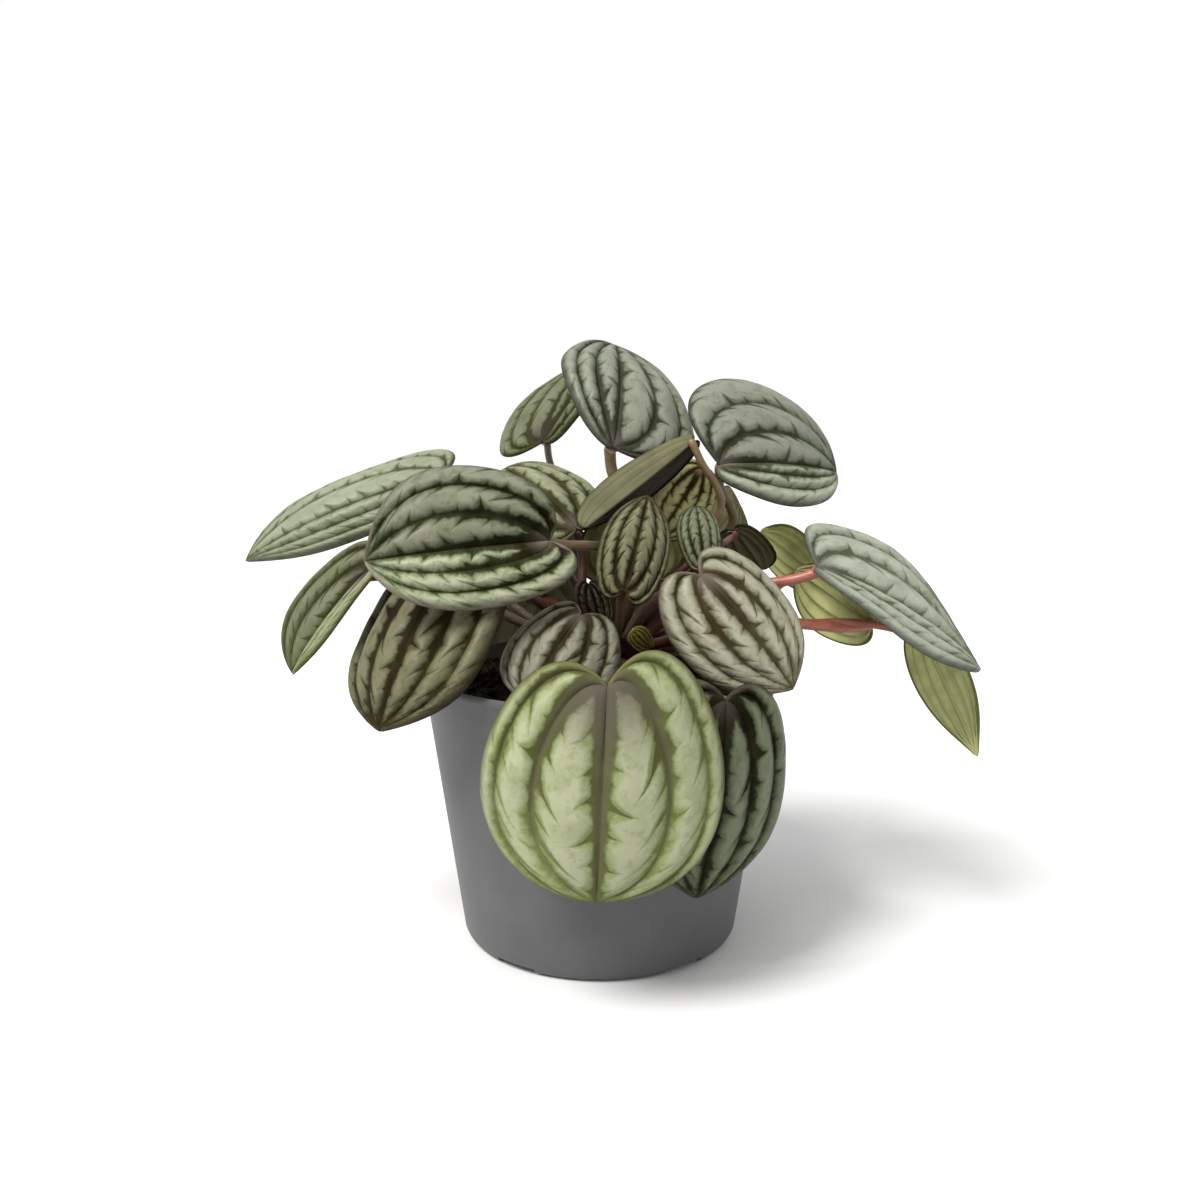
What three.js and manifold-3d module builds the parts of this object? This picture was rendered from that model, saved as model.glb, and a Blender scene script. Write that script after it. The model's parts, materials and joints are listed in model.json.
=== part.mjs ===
// Potted peperomia: a grey tapered grow pot filled with soil, and a low mound of
// ribbed, heart-shaped leaves that hang from fleshy stalks out of one short crown.
// Millimetres. +Z up, +X to the right of the front view, -Y towards the viewer.
// The origin is on the floor, under the middle of the pot.
import * as THREE from "three";
import { mergeVertices } from "three/addons/utils/BufferGeometryUtils.js";
import Module from "manifold-3d";

const wasm = await Module();
wasm.setup();

// ---- pot
const POT_HEIGHT = 91.6;
const POT_RIM_RADIUS = 60;
const POT_BASE_RADIUS = 46.7;
const POT_WALL = 1.2;
const POT_FLOOR_TOP = 3;
const POT_SIDES = 48;
const FOOT_RADIUS = 43.4;
const RECESS_RADIUS = 37;
const RECESS_HEIGHT = 1.5;
const LIP_OUT = 0.6;
const LIP_HEIGHT = 2.6;
const NOTCH_COUNT = 5;
const NOTCH_FIRST_DEG = -54;
const NOTCH_WIDTH = 15;
const NOTCH_LENGTH = 16;
const NOTCH_HEIGHT = 2.3;
const DRAIN_HOLE_RADIUS = 3.5;
const DRAIN_HOLE_CENTRE = 29;
const DRAIN_HOLE_SIDES = 12;

// ---- soil and crown
const FIT_GAP = 0.45;
const SOIL_TOP = 86;
const SOIL_RISE = 2.5;
const SOIL_LUMP = 0.9;
const CROWN_RADIUS = 7;
const CROWN_FOOT = 70;
const CROWN_TOP = 100;
const STALK_SIDES = 6;
const STALK_STEPS = 8;
const STALK_ROOT_RADIUS = 4;
const STALK_ROOT_DROP = 8;
const STALK_ROOT_SPREAD = 5;
const STALK_LAST_STRETCH = 7;
const STALK_SPRING = 0.12; // of the way from root to joint
const GOLDEN_SHARE = 0.618;

// ---- leaf blades
const BLADE_THICKNESS = 0.9;
const RIB_HEIGHT = 0.03; // of the blade's width
const EDGE_WAVE = 0.012; // of the blade's width
const VEIN_LINES = [0.42, 0.76]; // side veins, as shares of the way from midrib to margin

// Each leaf: the joint where stalk meets blade, the tip, and which way the upper side
// faces. Then the width, how far the blade bows from joint to tip (arch) and from midrib
// to margin (cup), a roof fold along the midrib (fold, negative is a trough), and how much
// wider one side is than the other (skew). The lobes beside the joint swing back (lobe)
// and start broad or narrow (base), the tip is blunt or pointed (point), and the side
// veins run where veins says. A stalk has its radius, a point it passes (via), the way it
// heads at the joint (arrive), and how much nearer it ends under a blade that folds away
// from it (nearer). Two values in brackets are for the two sides of the midrib.
const LEAVES = [
  {
    name: "leaf_front", joint: [2, -80, 102], tip: [-1, -77, 40], face: [-0.02, -1, 0.12],
    width: 72, arch: 0.5, cup: 0.6, fold: 0.05, veins: [0.53, 0.86], lobe: [0.42, 0.62],
    base: [0.65, 0.58], colour: 0x93a06c,
    stalk: { radius: 1.5, via: [10, -46, 95], arrive: [-0.3, -0.9, 0.15] },
  },
  {
    name: "leaf_front_small", joint: [-6, -38, 114.8], tip: [-21, -53, 91.5], face: [-0.2, -0.85, 0.5],
    width: 40, arch: 0.7, cup: 0.7, fold: 0.1, colour: 0x8a8f7b,
    stalk: { radius: 1.2, via: [-3, -22, 102] },
  },
  {
    name: "leaf_inner_dark", joint: [-3.5, -12.5, 121], tip: [0, -19, 108.5], face: [0.3, -0.9, 0.3],
    width: 13, arch: 0.4, cup: 0.5, colour: 0x4b4a2c,
    stalk: { radius: 0.9 },
  },
  {
    name: "leaf_low_left", joint: [-46, -26, 129], tip: [-66, -50, 82], face: [-0.55, -0.75, 0.35],
    width: 62, arch: 0.5, cup: 0.5, fold: 0.02, point: 0.6, skew: -0.08, colour: 0x6b7350,
    stalk: { radius: 1.4 },
  },
  {
    name: "leaf_left", joint: [-16, -38, 138], tip: [-69, -50, 133], face: [-0.05, -0.97, 0.2],
    width: 51, arch: 0.6, cup: 0.9, fold: -0.2, skew: -0.24, point: 0.6, lobe: [0.3, 0.6],
    base: [0.5, 0.6], veins: [0.36, 0.7], colour: 0x8b9880,
    stalk: { radius: 1.5, via: [5, -9, 130], arrive: [-1, -0.7, 0.18] },
  },
  {
    name: "leaf_behind_left", joint: [-8, -2, 139], tip: [-34, 26, 158], face: [-0.1, -0.5, 0.85],
    width: 54, arch: 0.5, cup: 0.6, fold: 0.1, skew: 0.2, lobe: 0.3, colour: 0x7f8a76,
    stalk: { radius: 1.4 },
  },
  {
    name: "leaf_upper_left", joint: [-20, 28, 168], tip: [-5, 50, 197], face: [-0.6, -0.6, 0.5],
    width: 36, arch: 0.4, cup: [0.4, 0.06], skew: 0.2, lobe: [0.2, 0.45], base: [0.5, 1.6],
    point: [0, 1], colour: 0x82896b,
    stalk: { radius: 1.3, arrive: [-0.1, -0.65, 1], via: [-10, 35, 134] },
  },
  {
    name: "leaf_top", joint: [4, -4, 166], tip: [5, 31, 201.5], face: [0.35, -0.72, 0.6],
    width: 50, arch: 0.9, cup: 0.4, lobe: [0.15, 0.05], base: [1.5, 0.3], skew: -0.15,
    point: [0.9, 0.3], colour: 0x8c9a84,
    stalk: { radius: 1.9, arrive: [-0.1, -0.3, 1], via: [13, -5, 130], nearer: 0.3 },
  },
  {
    name: "leaf_upper_right", joint: [40, -2, 160], tip: [82, 16, 157], face: [0, -0.9, 0.4],
    width: 50, arch: 0.6, cup: [1.0, 0.5], skew: 0.46, lobe: [0.2, 0.6], base: [0.5, 1.15],
    point: [0, 0.5], fold: -0.1, veins: [0.3, 0.62], colour: 0x849281,
    stalk: { radius: 1.5, arrive: [-0.1, -0.4, 1], via: [45.5, 7.2, 140] },
  },
  {
    name: "leaf_bridge", joint: [29.3, -13, 167.4], tip: [-5, -27, 141], face: [-0.11, 0.92, -0.37],
    width: 21, arch: 0.3, cup: 0.3, fold: -0.94, skew: 0.3, lobe: 0.3, point: [1.2, 0], colour: 0x8c9173,
    stalk: { radius: 1.2, via: [40, -6, 146], arrive: [-0.5, -0.2, 1] },
  },
  {
    name: "leaf_middle_striped", joint: [33.5, 0.5, 158.5], tip: [19, -5.5, 136], face: [0.2, -0.9, 0.3],
    width: 25, arch: 0.4, cup: 0.5, fold: 0.1, point: 0.6, lobe: 0.35, colour: 0x7d7d5a,
    stalk: { radius: 1.2, arrive: [0.1, -0.4, 1], via: [30, 5, 130], nearer: 0.2 },
  },
  {
    name: "leaf_centre", joint: [8, -30, 123], tip: [15, -24, 151], face: [0.05, -1, 0.1],
    width: 25, arch: 0.3, cup: 0.6, point: 0.8, veins: [0.5, 0.86], colour: 0x7d8263,
    stalk: { radius: 1.4, via: [6, -18, 108] },
  },
  {
    name: "leaf_centre_small", joint: [33, -20, 130], tip: [31, -14, 147], face: [0.2, -1, 0.1],
    width: 14, arch: 0.3, cup: 0.5, veins: [0.5, 0.86], colour: 0x7f8873,
    stalk: { radius: 1.0 },
  },
  {
    name: "leaf_right", joint: [31, -38, 127], tip: [58, -46, 94], face: [0.15, -0.85, 0.45],
    width: 46, arch: 0.5, cup: 0.6, fold: 0.05, point: 0.8, veins: [0.4, 0.75], colour: 0x97957c,
    stalk: { radius: 1.5 },
  },
  {
    name: "leaf_low_right", joint: [36, -62, 94], tip: [28, -65, 36], face: [0.35, -0.93, 0.1],
    width: 66, arch: 0.4, cup: 0.6, fold: 0.1, point: 0.8, lobe: 0.4, colour: 0x4a4f3c,
    stalk: { radius: 1.4, via: [23, -41, 95], arrive: [0.3, -0.9, -0.08] },
  },
  {
    name: "leaf_far_right", joint: [71, -14, 127], tip: [123, -20, 95], face: [0.25, -0.5, 0.83],
    width: 49, arch: 0.5, cup: 0.5, point: [0.3, 2.2], fold: -0.35, skew: 0.15, base: [0.5, 1.2],
    lobe: [0.1, 0.5], colour: 0x8a998a,
    stalk: { radius: 1.7, arrive: [1, -0.25, 0.35], nearer: 0.6 },
  },
  {
    name: "leaf_lime_underside", joint: [92.3, 2, 106.4], tip: [68, 11, 123.5], face: [0.3, 0.9, 0.3],
    width: 30, arch: 0.3, cup: 0.4, point: 0.7, lobe: 0.45, base: 0.58, colour: 0x8d8f4e,
    stalk: { radius: 1.8, arrive: [1, 0.35, 0.1], via: [50, -6, 108] },
  },
  {
    name: "leaf_lime_hanging", joint: [109, -8, 101], tip: [125.2, -16, 64.5], face: [0.3, 0.9, 0.2],
    width: 22, arch: 0.3, cup: 0.5, point: 1.5, lobe: 0.5, colour: 0x93994d,
    stalk: { radius: 1.3, via: [80, -2, 107.4], arrive: [0.8, 0, -0.6], nearer: -0.05 },
  },
  {
    name: "leaf_olive_underside", joint: [38, 12, 131], tip: [51, 32, 145], face: [0.2, 0.8, 0.4],
    width: 28, arch: 0.5, cup: 0.6, colour: 0x7c8458,
    stalk: { radius: 1.2 },
  },
  {
    name: "leaf_far_left", joint: [-55.1, 12, 155.5], tip: [-123.8, 14, 126.5], face: [-0.3, -0.75, 0.6],
    width: 44, arch: 0.5, cup: 0.6, fold: 0.1, point: 0.9, skew: -0.4, lobe: 0.4, base: 0.9,
    colour: 0x8d9a7b,
    stalk: { radius: 1.4, via: [-46, 0, 120], arrive: [-0.2, 0.2, 1] },
  },
  {
    name: "leaf_left_drooping", joint: [-76, -14, 125], tip: [-100, -18, 93], face: [-0.6, -0.6, 0.5],
    width: 32, arch: 0.3, cup: 0.2, fold: -0.46, point: 0.45, lobe: 0.75, veins: [0.5, 0.86],
    colour: 0x7d8448,
    stalk: { radius: 1.2, via: [-52, 4, 125], arrive: [-0.8, -0.5, 0] },
  },
  {
    name: "leaf_young", joint: [15, -27, 103.5], tip: [10, -31, 109.5], face: [0, -1, 0.2],
    width: 7, arch: 0.2, cup: 0.3, colour: 0x7a7638,
    stalk: { radius: 0.9 },
  },
  {
    name: "leaf_back_right", joint: [46, 18, 118], tip: [53, 66, 92], face: [0.5, 0.5, 0.75],
    width: 32, arch: 0.6, cup: 0.5, colour: 0x7f8a70,
    stalk: { radius: 1.4 },
  },
  {
    name: "leaf_back_middle_right", joint: [19, 46, 126], tip: [18, 82, 92], face: [0.2, 0.5, 0.85],
    width: 40, arch: 0.6, cup: 0.5, colour: 0x85907a,
    stalk: { radius: 1.4 },
  },
  {
    name: "leaf_back_middle_left", joint: [-20, 42, 134], tip: [-34, 78, 98], face: [-0.1, 0.5, 0.85],
    width: 44, arch: 0.6, cup: 0.5, colour: 0x7f8b72,
    stalk: { radius: 1.4 },
  },
  {
    name: "leaf_back_left", joint: [-44, 22, 122], tip: [-70, 54, 92], face: [-0.45, 0.5, 0.75],
    width: 40, arch: 0.6, cup: 0.5, colour: 0x88937a,
    stalk: { radius: 1.4 },
  },
  {
    name: "leaf_back_low_right", joint: [26, 62, 100], tip: [32, 78, 56], face: [0.4, 0.9, 0.3],
    width: 44, arch: 0.5, cup: 0.5, colour: 0x76806a,
    stalk: { radius: 1.4 },
  },
  {
    name: "leaf_back_low_left", joint: [-24, 58, 108], tip: [-30, 74, 56], face: [-0.4, 0.9, 0.3],
    width: 46, arch: 0.5, cup: 0.5, colour: 0x76806a,
    stalk: { radius: 1.4 },
  },
  {
    name: "leaf_back_upper", joint: [10, 14, 142.5], tip: [13, 24, 117], face: [0.05, 0.8, 0.4],
    width: 40, arch: 0.4, cup: 0.6, lobe: 0.4, colour: 0x808b74,
    stalk: { radius: 1.3 },
  },
  {
    name: "leaf_lime_upper", joint: [75.5, 21, 122], tip: [59, 35, 135.5], face: [0.3, 0.9, 0.3],
    width: 22, arch: 0.3, cup: 0.4, point: 0.9, lobe: 0.5, base: 0.7, colour: 0x9aa05a,
    stalk: { radius: 1.5, arrive: [1, 0.5, 0.2], via: [48, 1, 111] },
  },
  {
    name: "leaf_dark_right", joint: [45, -5, 138], tip: [55, 0, 125], face: [0.3, 0.8, 0.5],
    width: 18, arch: 0.4, cup: 0.5, colour: 0x2c2c1c,
    stalk: { radius: 1.1 },
  },
];

// ---- small helpers
const vec = (a) => new THREE.Vector3(a[0], a[1], a[2]);

// A closed three.js geometry as a solid, its seam vertices merged.
function solid(geometry) {
  const plain = geometry.clone();
  for (const name of ["normal", "uv"]) plain.deleteAttribute(name);
  const merged = mergeVertices(plain, 1e-3);
  return new wasm.Manifold(
    new wasm.Mesh({
      numProp: 3,
      vertProperties: merged.attributes.position.array,
      triVerts: new Uint32Array(merged.index.array),
    }),
  );
}

function geometryOf(made) {
  const mesh = made.getMesh();
  const geometry = new THREE.BufferGeometry();
  geometry.setAttribute("position", new THREE.BufferAttribute(mesh.vertProperties, 3));
  geometry.setIndex(new THREE.BufferAttribute(mesh.triVerts, 1));
  geometry.computeVertexNormals();
  return geometry;
}

function turned(profile, sides) {
  const points = profile.map(([r, z]) => new THREE.Vector2(r, z));
  return new THREE.LatheGeometry(points, sides).rotateX(Math.PI / 2);
}

function piece(name, geometry, colour, roughness) {
  const material = new THREE.MeshStandardMaterial({ color: colour, roughness, metalness: 0 });
  const mesh = new THREE.Mesh(geometry, material);
  mesh.name = name;
  return mesh;
}

const outerWall = (z) =>
  POT_BASE_RADIUS + ((POT_RIM_RADIUS - POT_BASE_RADIUS) * z) / POT_HEIGHT;
const innerWall = (z) => outerWall(z) - POT_WALL;

// ---- the pot: one turned shell, with drain slots cut through its foot
function makePot() {
  const top = POT_HEIGHT;
  const profile = [
    [0, RECESS_HEIGHT],
    [RECESS_RADIUS, RECESS_HEIGHT],
    [RECESS_RADIUS + 1, 0],
    [FOOT_RADIUS, 0],
    [outerWall(0) - 1.2, 0.8],
    [outerWall(3), 3],
    [outerWall(top - LIP_HEIGHT), top - LIP_HEIGHT],
    [outerWall(top) + LIP_OUT, top - LIP_HEIGHT + 0.6],
    [outerWall(top) + LIP_OUT, top - 0.5],
    [outerWall(top) + LIP_OUT - 0.5, top],
    [innerWall(top) + 0.3, top],
    [innerWall(top), top - 0.4],
    [innerWall(5), 5],
    [innerWall(3) - 1.6, POT_FLOOR_TOP],
    [0, POT_FLOOR_TOP],
  ];
  let pot = solid(turned(profile, POT_SIDES));
  for (let k = 0; k < NOTCH_COUNT; k++) {
    const angle = THREE.MathUtils.degToRad(NOTCH_FIRST_DEG + (360 / NOTCH_COUNT) * k);
    const slot = new THREE.BoxGeometry(NOTCH_LENGTH, NOTCH_WIDTH, 2 * NOTCH_HEIGHT);
    slot.translate(RECESS_RADIUS - 1 + NOTCH_LENGTH / 2, 0, 0);
    slot.rotateZ(angle);
    pot = pot.subtract(solid(slot));
    const hole = new THREE.CylinderGeometry(
      DRAIN_HOLE_RADIUS,
      DRAIN_HOLE_RADIUS,
      4 * POT_FLOOR_TOP,
      DRAIN_HOLE_SIDES,
    );
    hole.rotateX(Math.PI / 2);
    hole.translate(DRAIN_HOLE_CENTRE, 0, POT_FLOOR_TOP / 2);
    hole.rotateZ(angle);
    pot = pot.subtract(solid(hole));
  }
  return pot;
}

// ---- the soil: fills the pot to a finger below the rim, lumpy on top,
// with one plain hole in which the crown stands
function makeSoil() {
  const hole = CROWN_RADIUS + FIT_GAP;
  const edge = innerWall(SOIL_TOP) - FIT_GAP;
  const profile = [
    [0, POT_FLOOR_TOP + FIT_GAP],
    [innerWall(3) - 2.2, POT_FLOOR_TOP + FIT_GAP],
    [innerWall(5.4) - FIT_GAP, 5.6],
    [edge, SOIL_TOP],
    [edge - 7, SOIL_TOP],
    [edge - 15, SOIL_TOP],
    [edge - 24, SOIL_TOP],
    [edge - 33, SOIL_TOP],
    [edge - 41, SOIL_TOP],
    [hole, SOIL_TOP],
    [hole, CROWN_FOOT],
    [0, CROWN_FOOT],
  ];
  const geometry = turned(profile, POT_SIDES);
  const position = geometry.attributes.position;
  for (let i = 0; i < position.count; i++) {
    if (position.getZ(i) < SOIL_TOP - 0.01) continue;
    const x = position.getX(i);
    const y = position.getY(i);
    const out = Math.hypot(x, y);
    const rise = SOIL_RISE * Math.cos((Math.PI / 2) * Math.min(1, out / edge));
    const lumps = Math.sin(0.61 * x + 2 * Math.sin(0.31 * y)) * Math.cos(0.53 * y + 0.2 * x);
    const fade = out < hole + 1 || out > edge - 1 ? 0.2 : 1;
    position.setZ(i, SOIL_TOP + rise + SOIL_LUMP * fade * lumps);
  }
  return solid(geometry);
}

// ---- one leaf blade
// The frame of a blade: chord direction, upper-side normal, sideways direction.
function bladeFrame(leaf) {
  const joint = vec(leaf.joint);
  const chord = vec(leaf.tip).sub(joint);
  const along = chord.clone().normalize();
  const up = vec(leaf.face);
  up.addScaledVector(along, -up.dot(along)).normalize();
  const side = new THREE.Vector3().crossVectors(up, along);
  const bend = Math.max(0.05, leaf.arch);
  const radius = chord.length() / (2 * Math.sin(bend / 2));
  return { joint, along, up, side, bend, radius, length: radius * bend };
}

// A measure that may differ between the two sides of the midrib.
const sided = (value, t) => (Array.isArray(value) ? value[t < 0 ? 0 : 1] : value);

// The line from joint to tip at the share t between the midrib (0) and a margin (1):
// a curve that swings back round the lobe, out to the widest part and in to the tip.
function outline(leaf, length, s, t) {
  const point = sided(leaf.point ?? 0, t);
  const lobe = sided(leaf.lobe ?? 0.58, t);
  const base = sided(leaf.base ?? 0.58, t);
  const half = (leaf.width / 2) * (1 + Math.sign(t) * (leaf.skew ?? 0));
  const margin = [
    [0, 0],
    [-lobe * length, base * half],
    [0.5 * length, 1.44 * half],
    [(0.97 - 0.23 * point) * length, (1.27 - 0.45 * point) * half],
    [length, 0],
  ];
  const weights = [1, 4, 6, 4, 1];
  const share = Math.abs(t);
  let x = 0;
  let y = 0;
  for (let i = 0; i < 5; i++) {
    const w = weights[i] * s ** i * (1 - s) ** (4 - i);
    const straight = (length * i) / 4;
    x += w * (straight + (margin[i][0] - straight) * share);
    y += w * margin[i][1] * t;
  }
  return [x, y];
}

// How high the blade swells at the share t: sunk on the veins, raised between them.
function swell(leaf, t) {
  const share = Math.min(1, Math.abs(t));
  const lines = [0, ...(leaf.veins ?? VEIN_LINES), 1];
  const k = Math.max(1, lines.findIndex((line) => share <= line));
  return Math.sin((Math.PI * (share - lines[k - 1])) / (lines[k] - lines[k - 1]));
}

// Columns of the blade's mesh: on each vein, and halfway between veins.
function columnsOf(leaf) {
  const lines = [0, ...(leaf.veins ?? VEIN_LINES), 1];
  const half = [];
  for (let k = 1; k < lines.length; k++) half.push((lines[k - 1] + lines[k]) / 2, lines[k]);
  return [...half.map((line) => -line).reverse(), 0, ...half];
}

function bladePoint(leaf, frame, s, t) {
  const [x, y] = outline(leaf, frame.length, s, t);
  const turn = frame.bend / 2 - x / frame.radius;
  const bow = leaf.width / 2 / sided(leaf.cup, t);
  const fold = leaf.fold ?? 0;
  const lean = fold + Math.abs(y) / bow;
  const across = Math.sign(y) * bow * (Math.sin(lean) - Math.sin(fold));
  const env = (4 * s * (1 - s)) ** 0.6;
  const ribs = RIB_HEIGHT * leaf.width * env * swell(leaf, t);
  const wave = EDGE_WAVE * leaf.width * env * t * t * Math.sin(13 * s + leaf.width + 2 * t);
  const lift = bow * (Math.cos(lean) - Math.cos(fold)) + ribs + wave;
  const half = frame.bend / 2;
  const point = frame.joint.clone();
  point.addScaledVector(frame.along, frame.radius * (Math.sin(half) - Math.sin(turn)));
  point.addScaledVector(frame.up, frame.radius * (Math.cos(turn) - Math.cos(half)));
  const normal = frame.up.clone().multiplyScalar(Math.cos(turn));
  normal.addScaledVector(frame.along, -Math.sin(turn));
  return point.addScaledVector(frame.side, across).addScaledVector(normal, lift);
}

const ROWS = [0, 0.1, 0.22, 0.36, 0.5, 0.64, 0.78, 0.9, 1];
const ROWS_SMALL = [0, 0.15, 0.35, 0.55, 0.78, 1];

// The blade as a closed sheet: two like faces, a thickness apart, joined at the margins.
function makeBlade(leaf) {
  const frame = bladeFrame(leaf);
  const small = leaf.width < 20;
  const rows = small ? ROWS_SMALL : ROWS;
  const columns = columnsOf(leaf);
  const positions = [];
  const index = [];
  const last = rows.length - 1;
  const half = BLADE_THICKNESS / 2;
  const step = 0.01;
  const poleNormal = (turn) => {
    const normal = frame.up.clone().multiplyScalar(Math.cos(turn));
    return normal.addScaledVector(frame.along, -Math.sin(turn));
  };
  const add = (point, normal, side) => {
    const p = point.clone().addScaledVector(normal, side * half);
    positions.push(p.x, p.y, p.z);
    return positions.length / 3 - 1;
  };
  const faces = [1, -1].map((side) => {
    const first = add(bladePoint(leaf, frame, 0, 0), poleNormal(frame.bend / 2), side);
    const end = add(bladePoint(leaf, frame, 1, 0), poleNormal(-frame.bend / 2), side);
    return rows.map((s, i) =>
      columns.map((t) => {
        if (i === 0) return first;
        if (i === last) return end;
        const here = bladePoint(leaf, frame, s, t);
        const ds = bladePoint(leaf, frame, s + step, t).sub(here);
        const dt = bladePoint(leaf, frame, s, t + step).sub(here);
        return add(here, new THREE.Vector3().crossVectors(ds, dt).normalize(), side);
      }),
    );
  });
  const triangle = (a, b, c) => {
    if (a !== b && b !== c && c !== a) index.push(a, b, c);
  };
  for (let i = 0; i < last; i++) {
    for (let j = 0; j + 1 < columns.length; j++) {
      const [top, under] = faces;
      const slant = j < (columns.length - 1) / 2;
      const quad = (face, flip) => {
        const a = face[i][j];
        const b = face[i + 1][j];
        const c = face[i + 1][j + 1];
        const d = face[i][j + 1];
        const pair = slant ? [[a, b, c], [a, c, d]] : [[a, b, d], [b, c, d]];
        for (const [p, q, r] of pair) {
          if (flip) triangle(p, r, q);
          else triangle(p, q, r);
        }
      };
      quad(top, false);
      quad(under, true);
    }
    const lastColumn = columns.length - 1;
    const [top, under] = faces;
    triangle(top[i][0], under[i][0], top[i + 1][0]);
    triangle(under[i][0], under[i + 1][0], top[i + 1][0]);
    triangle(top[i][lastColumn], top[i + 1][lastColumn], under[i][lastColumn]);
    triangle(under[i][lastColumn], top[i + 1][lastColumn], under[i + 1][lastColumn]);
  }
  const geometry = new THREE.BufferGeometry();
  geometry.setAttribute("position", new THREE.Float32BufferAttribute(positions, 3));
  geometry.setIndex(index);
  geometry.computeVertexNormals();
  return geometry;
}

// ---- the crown and the stalks, grown together
function makeStalk(leaf, k) {
  const frame = bladeFrame(leaf);
  const turn = frame.bend / 2;
  const normal = frame.up.clone().multiplyScalar(Math.cos(turn));
  normal.addScaledVector(frame.along, -Math.sin(turn));
  const along = frame.along.clone().multiplyScalar(Math.cos(turn));
  along.addScaledVector(frame.up, Math.sin(turn));
  const { radius, via, nearer = 0 } = leaf.stalk;
  const arrive = leaf.stalk.arrive
    ? vec(leaf.stalk.arrive).normalize()
    : along.multiplyScalar(0.6).addScaledVector(normal, 0.8);
  const rim = radius * Math.sqrt(Math.max(0, 1 - arrive.dot(normal) ** 2));
  const clear = BLADE_THICKNESS / 2 + 1.25 * FIT_GAP + rim - nearer;
  const end = frame.joint.clone().addScaledVector(normal, -clear);
  const azimuth = Math.atan2(leaf.joint[1], leaf.joint[0]);
  const rootHeight = CROWN_TOP - STALK_ROOT_DROP + STALK_ROOT_SPREAD * ((k * GOLDEN_SHARE) % 1);
  const root = new THREE.Vector3(Math.cos(azimuth), Math.sin(azimuth), 0);
  root.multiplyScalar(STALK_ROOT_RADIUS).setZ(rootHeight);
  const before = end.clone().addScaledVector(arrive, -STALK_LAST_STRETCH);
  const lift = end.clone().sub(root);
  const middle = via
    ? vec(via)
    : root.clone().addScaledVector(lift, 0.45).add(new THREE.Vector3(0, 0, STALK_SPRING * lift.length()));
  const path = new THREE.CatmullRomCurve3([root, middle, before, end], false, "centripetal");
  const ring = new THREE.Shape();
  for (let i = 0; i < STALK_SIDES; i++) {
    const angle = (2 * Math.PI * i) / STALK_SIDES;
    const x = radius * Math.cos(angle);
    const y = radius * Math.sin(angle);
    if (i === 0) ring.moveTo(x, y);
    else ring.lineTo(x, y);
  }
  ring.closePath();
  return new THREE.ExtrudeGeometry(ring, { steps: STALK_STEPS, extrudePath: path });
}

function makeStems() {
  const profile = [
    [0, CROWN_FOOT + FIT_GAP],
    [CROWN_RADIUS - 1.5, CROWN_FOOT + FIT_GAP],
    [CROWN_RADIUS, CROWN_FOOT + 3],
    [CROWN_RADIUS, SOIL_TOP + 5],
    [CROWN_RADIUS + 1, CROWN_TOP - 5],
    [CROWN_RADIUS - 1.5, CROWN_TOP - 1],
    [0, CROWN_TOP],
  ];
  const parts = [solid(turned(profile, 16))];
  LEAVES.forEach((leaf, k) => parts.push(solid(makeStalk(leaf, k))));
  return wasm.Manifold.union(parts);
}

// ---- the whole plant
const plant = new THREE.Group();
plant.name = "potted_peperomia";
plant.add(piece("pot", geometryOf(makePot()), 0x6c6f71, 0.55));
plant.add(piece("soil", geometryOf(makeSoil()), 0x1c1712, 1));
plant.add(piece("stems", geometryOf(makeStems()), 0x8a5545, 0.5));
for (const leaf of LEAVES) {
  plant.add(piece(leaf.name, makeBlade(leaf), leaf.colour, 0.45));
}

export default plant;
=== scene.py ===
# %% [markdown]
# # A potted peperomia, dressed in Blender
# The object is a small foliage plant in a grey grow pot: about thirty ribbed leaves on
# fleshy stalks, which all rise from one crown in dark soil. Its solids come from the CAD
# model and are loaded as a frame that is never moved. Here we give them their fine form
# and finish: a smooth pot, crumbly soil, round stalks, and blades with sunken veins.

# %% Load the frame
import json
import math
import random

import bpy
import numpy as np
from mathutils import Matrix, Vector

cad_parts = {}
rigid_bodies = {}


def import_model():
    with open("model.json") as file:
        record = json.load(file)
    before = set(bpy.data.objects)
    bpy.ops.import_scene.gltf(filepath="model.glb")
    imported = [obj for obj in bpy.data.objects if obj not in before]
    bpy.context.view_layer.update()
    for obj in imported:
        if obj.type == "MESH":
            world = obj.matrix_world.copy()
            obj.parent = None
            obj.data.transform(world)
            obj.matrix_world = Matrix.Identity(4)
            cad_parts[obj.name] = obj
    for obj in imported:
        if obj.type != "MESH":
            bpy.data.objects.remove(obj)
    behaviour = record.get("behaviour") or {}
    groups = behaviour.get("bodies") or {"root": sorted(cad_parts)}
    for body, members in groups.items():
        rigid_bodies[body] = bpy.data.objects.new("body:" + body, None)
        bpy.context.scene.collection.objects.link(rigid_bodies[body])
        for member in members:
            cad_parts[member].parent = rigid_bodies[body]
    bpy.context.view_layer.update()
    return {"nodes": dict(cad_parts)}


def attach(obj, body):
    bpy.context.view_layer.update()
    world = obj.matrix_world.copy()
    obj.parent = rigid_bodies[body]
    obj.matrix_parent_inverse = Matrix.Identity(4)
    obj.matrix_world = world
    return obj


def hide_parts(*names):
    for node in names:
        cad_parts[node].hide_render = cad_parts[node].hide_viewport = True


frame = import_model()
MM = 0.001


# %% [markdown]
# ## Small helpers
# An operator works on all that is selected, and the frame comes in selected. So each
# piece starts from an empty selection. One helper applies the modifiers of a piece, and
# one names the finished piece, puts it on the body and hides the solids it stands for.

# %% Helpers for every piece
def start_clean():
    if bpy.context.object and bpy.context.object.mode != "OBJECT":
        bpy.ops.object.mode_set(mode="OBJECT")
    bpy.ops.object.select_all(action="DESELECT")


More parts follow.
